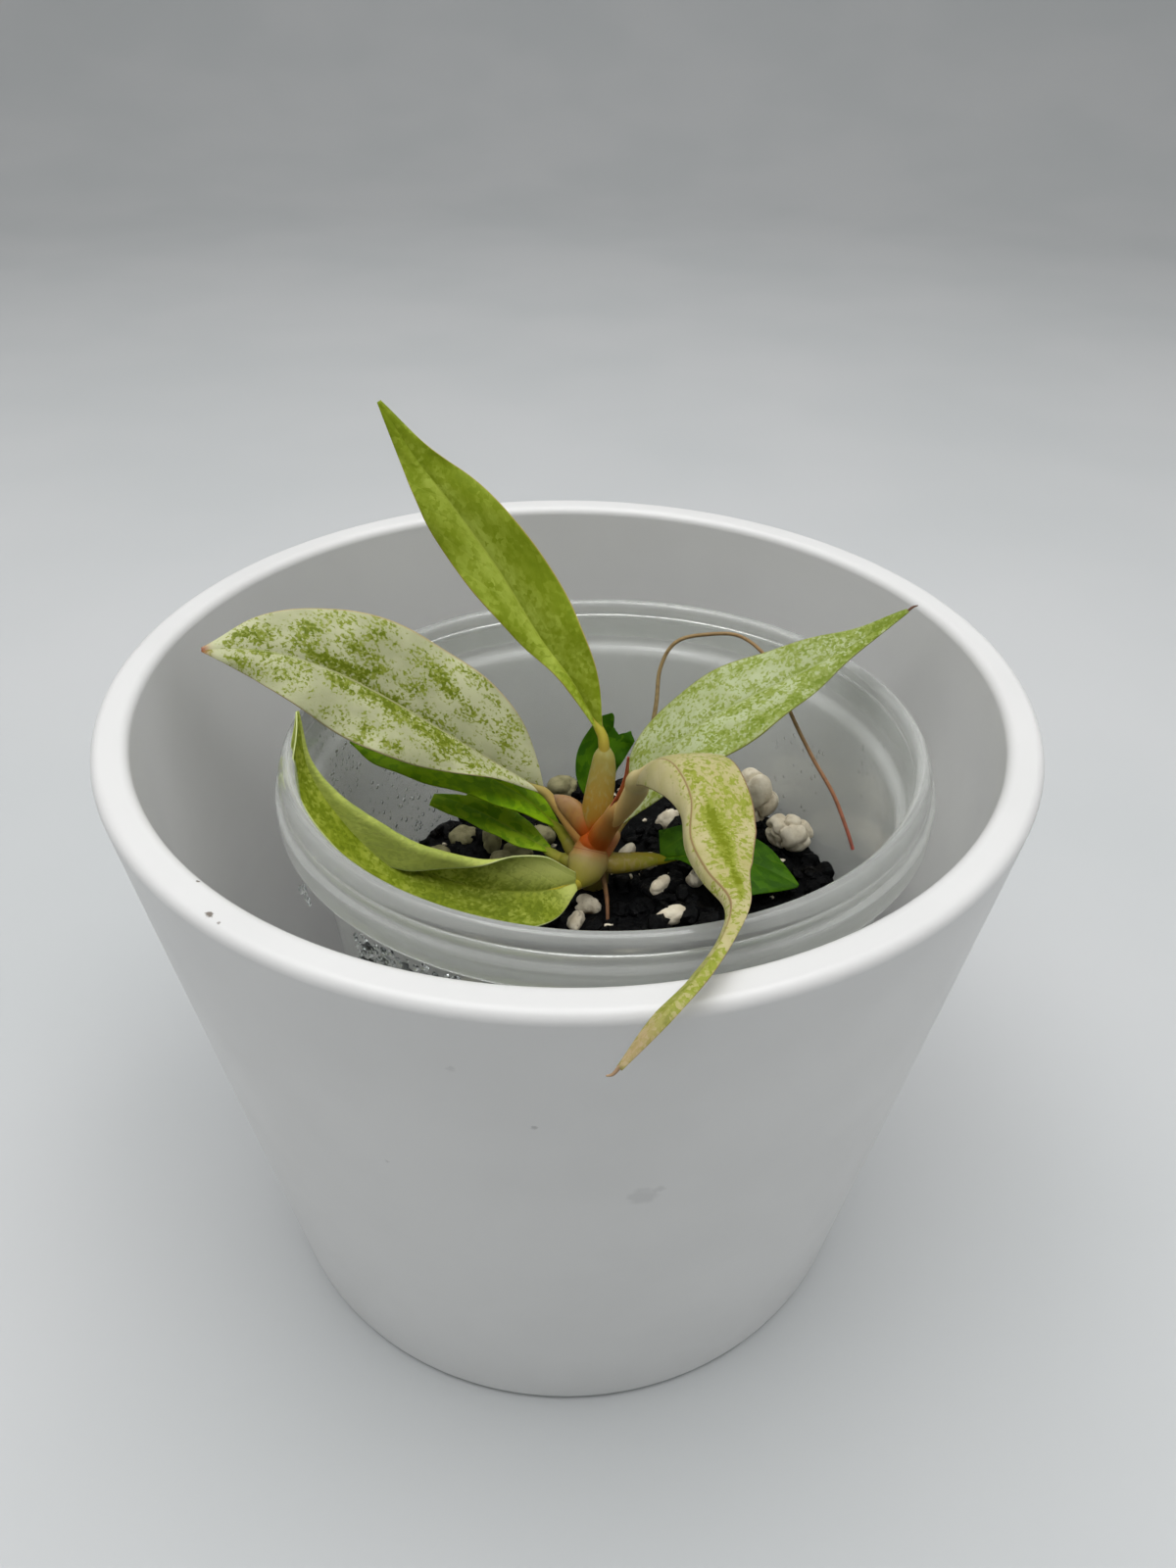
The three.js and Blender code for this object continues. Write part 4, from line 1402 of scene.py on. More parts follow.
@dataclass
class PaleLumps:
    """The larger pale lumps, half sunk in the mix."""

    mix: GrowingMix
    core: float = 0.82
    swell: float = 0.24
    swellings: int = 7
    swell_start: float = 0.55
    knobs: int = 8
    big_from: float = 4.5
    big: LumpKind = LumpKind(0.8, 0.3, 0.45, 5)
    small: LumpKind = LumpKind(0.45, 0.14, 0.1, 4)
    mossy_left_of: float = -2
    lumps: tuple[Lump, ...] = (
        Lump(39.4, 26.6, (4.6, 4.6, 5.8), 10),
        Lump(46.6, 17.6, (4.6, 3.8, 4), 15),
        Lump(-3.2, 37.5, (4, 3.4, 3.2), 0),
        Lump(11.8, 15.5, (3.2, 1.7, 2), 55),
        Lump(20.4, 26.5, (2.4, 2.2, 2.4), 30),
        Lump(16.4, 12.6, (2.8, 1.8, 1.8), 20),
        Lump(17.8, 2, (2.6, 1.7, 1.6), 60),
        Lump(25.6, 5.4, (2, 2, 2.1), 0),
        Lump(20.2, -6, (3.2, 1.9, 2), 20),
        Lump(4, -0.4, (2.6, 2, 2.2), 0),
        Lump(1.4, -5, (1.7, 2.6, 1.8), 160),
        Lump(-11.2, 12.3, (4.8, 3.4, 3), 5),
        Lump(-6.4, 21.3, (3.2, 2.8, 2.8), 40),
        Lump(-16.8, 18.6, (3.2, 2.6, 2.8), 70),
        Lump(-23, 21.6, (3.4, 3, 3), 0),
        Lump(-29, 16.4, (3, 2.8, 2.6), 25),
        Lump(12, 33, (3, 2.4, 2.6), 80),
        Lump(-22, 32, (2.6, 2.2, 2.4), 10),
        Lump(34, -18, (2.6, 2, 2.2), 35),
        Lump(12, -30, (3, 2.4, 2.4), 65),
        Lump(-18, -26, (2.6, 2.2, 2.2), 15),
        Lump(28, 18, (2.4, 2, 2.2), 55),
    )

    WARP = 0.28
    WARP_SCALE = 1.9
    WARP_PLACES = 97
    CREASE_WIDTH = 0.07
    DOME_MIDDLE = 0.8
    BELOW = 0.8
    BELOW_SHADE = 0.6
    CREASE_SHADE = 0.7
    SEEDS = 1e6

    def _directions(self, dice: Dice, count: int) -> np.ndarray:
        """Random directions, evenly spread over a sphere.

        Args:
            dice: The random row.
            count: How many there are.

        Returns:
            One unit vector in each row.
        """
        made = []
        for _ in range(count):
            height = 2 * dice.roll() - 1
            angle = dice.angle()
            flat = math.sqrt(1 - height * height)
            made.append((flat * math.cos(angle), flat * math.sin(angle), height))
        return np.array(made)

    def _swell(self, facing: np.ndarray, dice: Dice) -> np.ndarray:
        """How far the lump's form reaches in each direction, with the same swellings as its solid."""
        past = (facing @ way - self.swell_start for way in self._directions(dice, self.swellings))
        return self.core + sum(self.swell * np.maximum(0, p) / (1 - self.swell_start) for p in past)

    def _warped(self, facing: np.ndarray, seed: int) -> np.ndarray:
        """The directions pushed about, so that the knobs are uneven.

        Args:
            facing: The directions.
            seed: The lump's own number.

        Returns:
            One unit vector in each row.
        """
        start = Vector((seed % self.WARP_PLACES, 0, 0))
        push = [noise.noise_vector(Vector(p) * self.WARP_SCALE + start) for p in facing]
        return unit(facing + self.WARP * np.array(push))

    def shape(self, lump: Lump, seed: int) -> tuple[Shell, np.ndarray]:
        """One lump, with knobs and creases between them.

        Args:
            lump: Its place and size.
            seed: The number that its swellings and knobs are drawn from.

        Returns:
            The shell, and the painted shade at each point, from 0 to 1: darker deep in a crease and where it
            faces down.
        """
        kind = self.big if max(lump.size) > self.big_from else self.small
        dice = Dice(seed)
        shell = ball(kind.detail)
        facing = shell.points
        swell = self._swell(facing, dice)
        knobs = self._directions(dice, self.knobs)
        nearest = np.sort(self._warped(facing, seed) @ knobs.T, axis=1)[:, ::-1]
        crease = np.exp(-(nearest[:, 0] - nearest[:, 1]) / self.CREASE_WIDTH)
        dome = np.clip(nearest[:, 0], 0, 1) - self.DOME_MIDDLE
        swell = swell * (1 - kind.crease * crease) + kind.bulge * dome
        points = facing * swell[:, None] * np.array(lump.size)
        turn = math.radians(lump.turn)
        x = lump.x + points[:, 0] * math.cos(turn) - points[:, 1] * math.sin(turn)
        y = lump.y + points[:, 0] * math.sin(turn) + points[:, 1] * math.cos(turn)
        z = self.mix.level_at(lump.x, lump.y) + kind.rise * lump.size[2] + points[:, 2]
        # Painted shade: the stain colour darkens the creases and the underside.
        below = np.clip(-facing[:, 2] * self.BELOW, 0, 1)
        wear = np.clip(self.CREASE_SHADE * crease + self.BELOW_SHADE * below, 0, 1)
        return Shell(np.stack([x, y, z], axis=1), shell.faces), wear

    def build(self) -> None:
        """Makes each lump in place of its solid."""
        clean = ExpandedRock().material()
        # The mossy lumps' stain colour is also their painted shade.
        mossy = ExpandedRock("mossy_rock", pale="9a9470", dull="757150", stain="3c3822").material()
        dice = Dice(self.mix.seed + 1)
        noise.seed_set(self.mix.seed)
        for number, lump in enumerate(self.lumps, start=1):
            shell, crease = self.shape(lump, int(dice.roll() * self.SEEDS))
            finish = mossy if lump.x < self.mossy_left_of else clean
            piece = shell.piece(f"pale_lump_{number:02d}", finish)
            # The crease mark carries the painted shade in the creases and underneath.
            mark(piece, "crease", crease)
            place(piece, "perlite", f"perlite_{number:02d}")


# The plant


@dataclass(frozen=True)
class Half:
    """One half of a blade, from its base to its tip.

    Width is in millimetres. Lift is how steeply the half leaves the midrib, and curl how far it
    bends on from there, both in degrees. Crease is the share of the half at which the bend sits and
    spread half the bend's width. Where they are empty the bend is even.
    """

    width: Row
    lift: Row
    curl: Row
    crease: Row = ()
    spread: Row = ()

    STEPS = 24

    def run(self, t: np.ndarray, share: np.ndarray) -> tuple[np.ndarray, np.ndarray]:
        """How far places on the half lie from the midrib.

        Args:
            t: Share of the midrib's length.
            share: Share of the half's width.

        Returns:
            The distance across and the rise, in millimetres.
        """
        steps = share[..., None] * (np.arange(self.STEPS) + 0.5) / self.STEPS
        turn = steps
        if self.crease:
            spread = smooth(self.spread, t)[..., None]
            turn = np.clip((steps - smooth(self.crease, t)[..., None] + spread) / (2 * spread), 0, 1)
            turn = turn**2 * (3 - 2 * turn)
        bend = np.radians(smooth(self.lift, t)[..., None] + smooth(self.curl, t)[..., None] * turn)
        length = smooth(self.width, t) * share
        return length * np.cos(bend).mean(axis=-1), length * np.sin(bend).mean(axis=-1)


@dataclass(frozen=True)
class Sheet:
    """A thin sheet of tissue bent along a midrib, as a blade or the wing of a sheath.

    Across points to the right half, seen on the upper face with the tip ahead.
    """

    midrib: Path
    across: Point
    left: Half
    right: Half
    wave: float = 0.0

    RIPPLES_ALONG = 22
    RIPPLE_SHIFT = 2
    RIPPLE_WIDTH = 4
    LENGTH_STEPS = 200

    def frame(self, t: np.ndarray) -> tuple[np.ndarray, np.ndarray, np.ndarray]:
        """The midrib's points, and the directions to the right half and to the upper face.

        Args:
            t: Share of the midrib's length, for any places.

        Returns:
            Three arrays with a last axis of 3.
        """
        ahead = heading(self.midrib, t)
        across = np.broadcast_to(np.array(self.across, float), ahead.shape)
        side = unit(across - ahead * np.sum(across * ahead, axis=-1, keepdims=True))
        return smooth(self.midrib, t), side, np.cross(side, ahead)

    def length(self) -> float:
        """The midrib's length in millimetres."""
        points = smooth(self.midrib, np.linspace(0, 1, self.LENGTH_STEPS))
        return float(np.sum(np.linalg.norm(np.diff(points, axis=0), axis=1)))

    def width(self, t: np.ndarray, out: np.ndarray) -> np.ndarray:
        """The half width in millimetres on whichever half each place is."""
        return np.where(out < 0, smooth(self.left.width, t), smooth(self.right.width, t))

    def surface(self, t: np.ndarray, out: np.ndarray) -> np.ndarray:
        """The sheet's middle surface.

        Args:
            t: Share of the midrib's length, for a grid of places.
            out: Share of the half width, negative on the left half, for each place.

        Returns:
            The points in millimetres.
        """
        centre, side, up = self.frame(t)
        share = np.abs(out)
        left, right = self.left.run(t, share), self.right.run(t, share)
        across = np.where(out < 0, -left[0], right[0])
        rise = np.where(out < 0, left[1], right[1])
        wave = np.sin(self.RIPPLES_ALONG * t + self.RIPPLE_SHIFT * out)
        ripple = self.wave * wave * share**2 * np.minimum(1, self.width(t, out) / self.RIPPLE_WIDTH)
        return centre + across[..., None] * side + (rise + ripple)[..., None] * up

    @staticmethod
    def faces(rows: int, columns: int) -> Faces:
        """Faces of a closed sheet: an upper grid, a lower grid and a rim between them.

        Args:
            rows: Rows of points along the sheet.
            columns: Points in each row.

        Returns:
            The faces, facing out.
        """
        under = rows * columns
        faces: Faces = []
        for i in range(rows - 1):
            for c in range(columns - 1):
                a = i * columns + c
                quad = (a, a + 1, a + columns + 1, a + columns)
                faces.append(quad)
                faces.append(tuple(under + k for k in reversed(quad)))
        rim = [*range(columns)]
        rim += [i * columns + columns - 1 for i in range(1, rows)]
        rim += [(rows - 1) * columns + c for c in range(columns - 2, -1, -1)]
        rim += [i * columns for i in range(rows - 2, 0, -1)]
        for a, b in zip(rim, [*rim[1:], rim[0]]):
            faces.append((a, under + a, under + b, b))
        return faces

    def thick(self, t: np.ndarray, out: np.ndarray, above: np.ndarray, below: np.ndarray) -> Shell:
        """The sheet as a closed body.

        Args:
            t: Share of the midrib's length, for a grid of places.
            out: Share of the half width for each place.
            above: How far the upper face lies from the middle surface, in millimetres.
            below: The same for the lower face, negative below.

        Returns:
            The shell: the upper face's points and then the lower face's.
        """
        middle = self.surface(t, out)
        up = unit(np.cross(np.gradient(middle, axis=1), np.gradient(middle, axis=0)))
        sides = [(middle + reach[..., None] * up).reshape(-1, 3) for reach in (above, below)]
        return Shell(np.concatenate(sides), self.faces(*t.shape))


@dataclass(frozen=True)
class Patch:
    """A soft patch on a blade: its middle and reach along the midrib and across it, and its strength."""

    along: float
    out: float
    reach_along: float
    reach_out: float
    amount: float

    def at(self, t: np.ndarray, out: np.ndarray) -> np.ndarray:
        """The patch's strength at places on the blade."""
        along = ((t - self.along) / self.reach_along) ** 2
        return self.amount * np.exp(-along - ((out - self.out) / self.reach_out) ** 2)

    @staticmethod
    def total(patches: Sequence["Patch"], t: np.ndarray, out: np.ndarray) -> np.ndarray:
        """The strength of several patches together at places on the blade."""
        return sum((patch.at(t, out) for patch in patches), np.zeros_like(t))


@dataclass(frozen=True)
class Leaf:
    """A leaf: its blade, its stalk and its finish.

    The stalk runs on under the blade as a rib, at the shares of the midrib in under_at. Reach
    shortens single columns, from the left edge to the right, where the end is torn.
    """

    node: str
    slot: str
    petiole: Path
    petiole_radii: Row
    blade: Sheet
    finish: LeafFinish
    reach: Row = ()
    green: float = 0.0
    greens: tuple[Patch, ...] = ()
    blushes: tuple[Patch, ...] = ()
    tail: Path = ()
    quilt: float = 0.02
    under_at: Row = (0.04, 0.12, 0.3)
    under_radii: Row = (0.8, 0.55, 0.2)

    ROWS = 150
    COLUMNS = 56
    STALK_SIDES, STALK_ROWS = 20, 48
    TAIL_SIDES, TAIL_ROWS = 8, 12
    TAIL_RADII = (0.28, 0.22, 0.1)
    VEIN_ANGLE = math.radians(27)
    VEIN_SWEEP = 0.02
    HALF_SHIFT = 31.0
    FLOW_ALONG = 0.8
    MIDDLE_THICKNESS = 0.5
    EDGE_THICKNESS = 0.24
    RIB_DEPTH = 0.45
    RIB_WIDTH = 0.5
    RIB_LINE = 0.18
    RIB_FADE = 0.7
    RIB_STARTS = 0.9
    RIB_FULL_OVER = 0.3
    GROOVE_DEPTH = 0.16
    TORN_DEPTH = 0.012
    TORN_SCALE, TORN_ROW = 9, 4.2
    UNDER_DROP, LEAST_DROP = 0.8, 0.3

    def grid(self) -> tuple[np.ndarray, np.ndarray]:
        """Where the blade's points lie: share of the midrib and share of the half width.

        Returns:
            Two arrays with a row for each step along the blade.
        """
        columns = np.linspace(-1, 1, self.COLUMNS + 1)
        reach = np.ones_like(columns)
        if self.reach:
            torn = np.interp(columns, np.linspace(-1, 1, len(self.reach)), self.reach)
            places = [Vector((c * self.TORN_SCALE, self.TORN_ROW, 0)) for c in columns]
            ragged = np.array([noise.noise(place_in_noise) for place_in_noise in places])
            reach = np.minimum(torn + self.TORN_DEPTH * ragged, 1.0)
        t = np.linspace(0, 1, self.ROWS + 1)[:, None] * reach
        return t, np.broadcast_to(columns, t.shape)

    def flow(self, t: np.ndarray, out: np.ndarray) -> tuple[np.ndarray, np.ndarray]:
        """Coordinates for the patterns, in metres.

        Args:
            t: Share of the midrib's length.
            out: Share of the half width.

        Returns:
            Places along the midrib and across it, with a shift that parts the halves, and the
            distance across the side veins.
        """
        q = np.abs(out) * self.blade.width(t, out)
        along = t * self.blade.length()
        vein = along * math.sin(self.VEIN_ANGLE) - q * math.cos(self.VEIN_ANGLE) - self.VEIN_SWEEP * q**2
        half_shift = np.where(out < 0, 0.0, self.HALF_SHIFT)
        return np.stack([self.FLOW_ALONG * along, q, half_shift], axis=-1) * MM, vein * MM

    def blade_body(self) -> tuple[Shell, Marks]:
        """The blade as a thin closed body, and what its material reads at each point.

        Returns:
            The shell and its marks.
        """
        t, out = self.grid()
        share = np.abs(out)
        q = share * self.blade.width(t, out)
        flow, vein = self.flow(t, out)
        wave = np.cos(2 * math.pi * vein / (self.finish.vein_spacing * MM))
        quilt = self.quilt * wave * np.clip(4 * share * (1 - share), 0, 1)
        rib = bell(q, self.RIB_WIDTH) * (1 - t) ** self.RIB_FADE
        fuller = (self.MIDDLE_THICKNESS - self.EDGE_THICKNESS) * (1 - share) ** 0.5
        half = 0.5 * (self.EDGE_THICKNESS + fuller)
        above = quilt + half - self.GROOVE_DEPTH * rib
        shell = self.blade.thick(t, out, above, quilt - half - self.RIB_DEPTH * rib)
        line = bell(q, self.RIB_LINE) * np.clip((self.RIB_STARTS - t) / self.RIB_FULL_OVER, 0, 1)
        values = {
            "green": self.green + Patch.total(self.greens, t, out),
            "blush": np.clip(Patch.total(self.blushes, t, out), 0, 1),
            "edge": share,
            "rib": line,
            "vein": vein,
            "stalk": np.zeros_like(t),
            "stalk_along": np.ones_like(t),
        }
        marks = {name: np.tile(value.ravel(), 2) for name, value in values.items()}
        marks["flow"] = np.tile(flow.reshape(-1, 3), (2, 1))
        marks["face"] = np.repeat([0.0, 1.0], t.size)
        return shell, marks

    def stalk(self) -> tuple[Shell, Marks]:
        """The stalk, which runs on under the blade as its raised rib, and what its material reads.

        Returns:
            The shell and its marks.
        """
        centre, _, up = self.blade.frame(np.array(self.under_at))
        drop = np.maximum(self.LEAST_DROP, self.UNDER_DROP * np.array(self.under_radii))
        under = (tuple(point) for point in centre - up * drop[:, None])
        radii = (*self.petiole_radii, *self.under_radii)
        shell, along = tube((*self.petiole, *under), radii, self.STALK_SIDES, self.STALK_ROWS)
        return shell, self._plain_marks(shell, "stalk", along)

    def tail_end(self) -> tuple[Shell, Marks]:
        """The fine dry thread past the blade's tip, and what its material reads."""
        shell, _ = tube(self.tail, self.TAIL_RADII, self.TAIL_SIDES, self.TAIL_ROWS)
        return shell, self._plain_marks(shell, "blush", np.ones(len(shell.points)))

    @staticmethod
    def _plain_marks(shell: Shell, full: str, along: np.ndarray) -> Marks:
        """The marks of a part with no pattern: all are zero but the one that is full.

        Args:
            shell: The part.
            full: The mark that is 1.
            along: How far along the stalk each point is.

        Returns:
            The marks.
        """
        names = ("green", "blush", "edge", "rib", "vein", "face", "stalk")
        marks = {name: np.full(len(shell.points), float(name == full)) for name in names}
        marks["flow"] = shell.points * MM
        marks["stalk_along"] = along
        return marks

    def build(self) -> None:
        """Makes the leaf in place of its solid."""
        parts = [self.blade_body(), self.stalk()]
        if self.tail:
            parts.append(self.tail_end())
        shell = Shell.joined([part[0] for part in parts])
        piece = shell.piece(f"{self.node}_blade", self.finish.material())
        for name in parts[0][1]:
            mark(piece, name, np.concatenate([part[1][name] for part in parts]))
        place(piece, self.slot, self.node)


def low_finish(name: str, gloss: float = 0.12, vein_share: float = 0.15, **tones: str) -> LeafFinish:
    """The nearly plain finish of a small low leaf.

    Args:
        name: The finish's name.
        gloss: How glossy the leaf is.
        vein_share: How much of the rib's colour its side veins have.
        **tones: The finish's colours.

    Returns:
        The finish.
    """
    pattern = {"fleck_size": 1.4, "patch_size": 6, "softness": 0.2}
    return LeafFinish(name, gloss=gloss, vein_share=vein_share, **pattern, **tones)


# From the top of the plant down
LEAVES: tuple[Leaf, ...] = (
    Leaf(
        node="leaf_upright",
        slot="leaf_green",
        petiole=((6.4, 11.8, 101.4), (6.3, 12.8, 103.2), (5.9, 14, 104.6)),
        petiole_radii=(1.1, 1.1, 1),
        blade=Sheet(
            midrib=((5.4, 14.8, 105.2), (0, 19, 113.5), (-6.5, 23, 121), (-14.5, 27.5, 133),
                    (-23.5, 31, 145), (-30, 33.5, 153), (-36, 36, 162)),
            across=(0.76, 0.26, 0.47),
            left=Half((0.8, 1.8, 2.6, 4.6, 6.6, 6.4, 4.4, 2.2, 0.4), (50, 20, 12), (-15, -15)),
            right=Half((0.8, 4.6, 7.3, 8.8, 8.5, 7.2, 4.6, 2.4, 0.4), (30, 14, 10), (-15, -20)),
            wave=0.5,
        ),
        finish=LeafFinish(
            "leaf_mid_green", ground="a6b546", shade="99a838", fleck="849518", deep="6f8206",
            rib="a9b545", margin="b0a050", stalk="a3a02c", stalk_foot="a08a34", underside="90a032",
            fleck_size=0.8, patch_size=4, coarse=1.1, fine=0.65, softness=0.45, vein_share=0.15,
        ),
        green=0.1,
        greens=(
            Patch(0.9, 0.3, 0.16, 0.9, 0.3),
            Patch(0.5, 0.75, 0.35, 0.3, 0.16),
            Patch(0.25, 0.6, 0.2, 0.4, 0.12),
            Patch(0.5, -0.15, 0.26, 0.3, -0.36),
            Patch(0.22, 0.5, 0.14, 0.3, -0.2),
        ),
    ),
    Leaf(
        node="leaf_left",
        slot="leaf_cream",
        petiole=((4, 5, 82.6), (1.4, 6.4, 86), (-1.4, 8.4, 88.7), (-3.7, 10, 91.2), (-5.4, 10.8, 92.8)),
        petiole_radii=(1.7, 1.6, 1.2, 1, 0.9),
        blade=Sheet(
            midrib=((-6, 11, 93.2), (-16, 10, 101), (-26, 8.5, 109.5), (-35, 7, 117),
                    (-44.5, 5, 124), (-54.5, 3, 128.5), (-64.5, 1, 129.5)),
            across=(0.17, 0.6, 0.45),
            left=Half((0.8, 3, 6.8, 9.8, 10.8, 9.8, 7.8, 4.6, 0.4), (25, 20, 10, 5), (-25, -25)),
            right=Half((0.8, 9.6, 12.8, 14, 13.8, 12.4, 9.4, 5.1, 0.4), (40, 30, 25, 15), (-35, -35)),
            wave=0.6,
        ),
        finish=LeafFinish(
            "leaf_cream_flecked", ground="c2c49c", shade="aeb089", fleck="8b9636", deep="66740f",
            rib="b5b585", margin="b0a078", stalk="a39a58", stalk_foot="b0783c", underside="a8aa7c",
            fleck_size=0.42, patch_size=3, coarse=0.9, softness=0.1, vein_share=0.05, vein_depth=0.12,
            blush="9c4f40",
        ),
        green=-0.2,
        greens=(
            Patch(0.67, 0.85, 0.046, 0.16, 0.214),
            Patch(0.88, 0.48, 0.069, 0.37, 0.306),
            Patch(0.74, 0.53, 0.043, 0.2, 0.351),
            Patch(0.74, 0.25, 0.045, 0.12, 0.306),
            Patch(0.59, 0.73, 0.027, 0.18, 0.214),
            Patch(0.62, 0.45, 0.036, 0.17, 0.306),
            Patch(0.65, 0.12, 0.057, 0.12, 0.36),
            Patch(0.59, 0.12, 0.043, 0.1, 0.306),
            Patch(0.47, 0.7, 0.031, 0.12, 0.232),
            Patch(0.39, 0.65, 0.049, 0.18, 0.342),
            Patch(0.51, 0.28, 0.073, 0.16, 0.177),
            Patch(0.34, 0.53, 0.024, 0.11, 0.26),
            Patch(0.29, 0.4, 0.046, 0.12, 0.232),
            Patch(0.23, 0.85, 0.07, 0.12, 0.26),
            Patch(0.15, 0.65, 0.048, 0.2, 0.196),
            Patch(0.85, -0.1, 0.109, 0.14, 0.342),
            Patch(0.9, -0.6, 0.037, 0.2, 0.342),
            Patch(0.78, -0.42, 0.099, 0.17, 0.269),
            Patch(0.63, -0.15, 0.031, 0.13, 0.36),
            Patch(0.55, -0.07, 0.06, 0.17, 0.36),
            Patch(0.47, -0.05, 0.051, 0.11, 0.36),
            Patch(0.51, -0.72, 0.035, 0.1, 0.25),
            Patch(0.38, -0.2, 0.106, 0.22, 0.36),
            Patch(0.43, -0.8, 0.044, 0.12, 0.269),
            Patch(0.51, -0.95, 0.046, 0.07, 0.287),
            Patch(0.28, -0.62, 0.044, 0.12, 0.306),
            Patch(0.27, -0.2, 0.088, 0.28, 0.232),
            Patch(0.16, -0.52, 0.101, 0.28, 0.214),
        ),
        blushes=(Patch(1, 0, 0.02, 2, 0.9),),
    ),
    Leaf(
        node="leaf_right",
        slot="leaf_pale",
        petiole=((6.6, 5.4, 83.8), (8.2, 5.8, 85.9), (9.6, 6.2, 88)),
        petiole_radii=(1.6, 1.3, 1),
        blade=Sheet(
            midrib=((10.2, 6.4, 89), (16.5, 9, 100.5), (24, 11, 108.5), (33.5, 13, 114),
                    (44, 15, 119), (53.6, 17, 124.3), (62.4, 18.8, 130.3)),
            across=(0.36, -0.86, -0.25),
            left=Half((0.8, 5.9, 8.2, 8.6, 8.8, 7.6, 5.2, 2.6, 0.4), (13, 13), (-16, -16)),
            right=Half((0.8, 5.6, 8.6, 9.2, 8.8, 6.2, 3.2, 1.5, 0.4), (10, 10), (-16, -16)),
            wave=0.5,
        ),
        finish=LeafFinish(
            "leaf_pale_flecked", ground="b4bd94", shade="a4ad7e", fleck="8c9a48", deep="6f8219",
            rib="a0ab70", margin="8f9646", stalk="a6a160", stalk_foot="a8753c", underside="a0aa62",
            fleck_size=0.45, patch_size=2.6, coarse=0.8, softness=0.12, vein_share=0.08, deep_from=0.22,
            blush="6a4a38",
        ),
        green=-0.08,
        greens=(
            Patch(0.97, 0, 0.2, 1.2, 0.5),
            Patch(0.7, 0.75, 0.25, 0.3, 0.3),
            Patch(0.3, 0.75, 0.2, 0.25, 0.25),
            Patch(0.5, 0.1, 0.18, 0.25, 0.14),
            Patch(0.45, -0.85, 0.3, 0.2, 0.14),
        ),
        tail=((62.2, 18.7, 130.1), (63.2, 19, 130.9), (64.2, 19.2, 131.2)),
    ),
    Leaf(
        node="leaf_drooping",
        slot="leaf_blush",
        petiole=((7.6, 2.6, 91), (9.4, 0.8, 94.8), (11, -1.4, 99.6), (12.2, -4.2, 104.6), (12.3, -6.4, 108)),
        petiole_radii=(1.3, 1.5, 1.9, 2.2, 2.2),
        blade=Sheet(
            midrib=((11.6, -8.5, 110.5), (14.5, -18, 121), (17, -26, 125.5), (19, -35, 126),
                    (18.5, -44, 125.5), (20, -53, 127), (22.5, -61, 128.5), (21, -68.5, 129.5),
                    (17.5, -76, 130), (13, -82.5, 130), (7.5, -88.5, 127)),
            across=(-1, 0, 0),
            left=Half((1, 7, 9, 9.2, 9.6, 6.8, 2.8, 1.6, 1.3, 1.2, 0.4), (20, 10), (-30, -30)),
            right=Half(
                width=(1.8, 4.8, 5.2, 3.4, 2.3, 2, 1.6, 1.2, 1.8, 1.6, 0.4),
                lift=(-50, -40, -32, -50, -60, -55, -50, -45, -40),
                curl=(-50, -50, -40, -20, 0, 0),
            ),
            wave=0.2,
        ),
        finish=LeafFinish(
            "leaf_blush_flecked", ground="bab184", shade="aea66e", fleck="8f9738", deep="6f7a08",
            rib="907650", margin="9a7a5c", stalk="d0be8a", stalk_foot="c89a5a", underside="a8a25e",
            fleck_size=0.5, patch_size=3, coarse=0.8, softness=0.12, vein_share=0.08, deep_from=0.3,
            blush="a5886a",
        ),
        green=-0.1,
        greens=(
            Patch(0.335, -0.28, 0.03, 0.1, 0.434),
            Patch(0.37, -0.35, 0.035, 0.12, 0.496),
            Patch(0.43, -0.46, 0.07, 0.13, 0.558),
            Patch(0.5, -0.56, 0.07, 0.13, 0.496),
            Patch(0.57, -0.52, 0.04, 0.18, 0.372),
            Patch(0.31, -0.65, 0.05, 0.25, 0.2),
            Patch(0.26, -0.15, 0.04, 0.14, 0.25),
            Patch(0.2, 0.7, 0.3, 0.6, -0.3),
            Patch(0.86, 0, 0.16, 1.4, 0.22),
        ),
        blushes=(
            Patch(0.97, 0, 0.06, 1.5, 0.7),
            Patch(0, 0, 0.08, 2, 0.4),
        ),
        tail=((7.6, -88.3, 127.1), (6.8, -88.7, 126.2), (6, -88.8, 126)),
        under_at=(0.03, 0.09),
        under_radii=(1.7, 0.5),
    ),
    Leaf(
        node="leaf_curled",
        slot="leaf_olive",
        petiole=((2.6, 0.2, 79.8), (1.7, -1.4, 79.4), (0.8, -2.8, 80.2)),
        petiole_radii=(1.3, 1.2, 1.1),
        blade=Sheet(
            midrib=((1.2, -3.4, 81.2), (-6.6, -8.3, 83.2), (-18, -12.3, 87.6), (-29.5, -13.5, 94),
                    (-39.2, -12, 103), (-45.8, -8.6, 112), (-47.6, -5, 121)),
            across=(0.15, 0.8, 0.6),
            left=Half((1.5, 6, 8, 8, 7.4, 7, 6.3, 4.3, 0.5), (10, 10), (10, 20)),
            right=Half(
                width=(2.2, 6.9, 8.1, 9, 12.2, 12, 8, 3.6, 0.4),
                lift=(22, 24, 34, 50, 54, 56, 60, 60, 50),
                curl=(10, 40, 60, 165, 174, 176, 176, 170, 150),
                crease=(0.9, 0.9, 0.9, 0.8, 0.5, 0.36, 0.25, 0.14, 0.12),
                spread=(0.5, 0.5, 0.4, 0.2, 0.14, 0.12, 0.12, 0.12, 0.12),
            ),
            wave=0.2,
        ),
        # Its pale blush colour is painted light, laid by the blush patches below on parts of the blade that
        # lie in shade.
        finish=LeafFinish(
            "leaf_olive_mottled", ground="a0aa44", shade="8c9826", fleck="70800a", deep="5f6e02",
            rib="7d8a1c", margin="c3cc8c", stalk="b0a62c", stalk_foot="b0a040", underside="c2cc74",
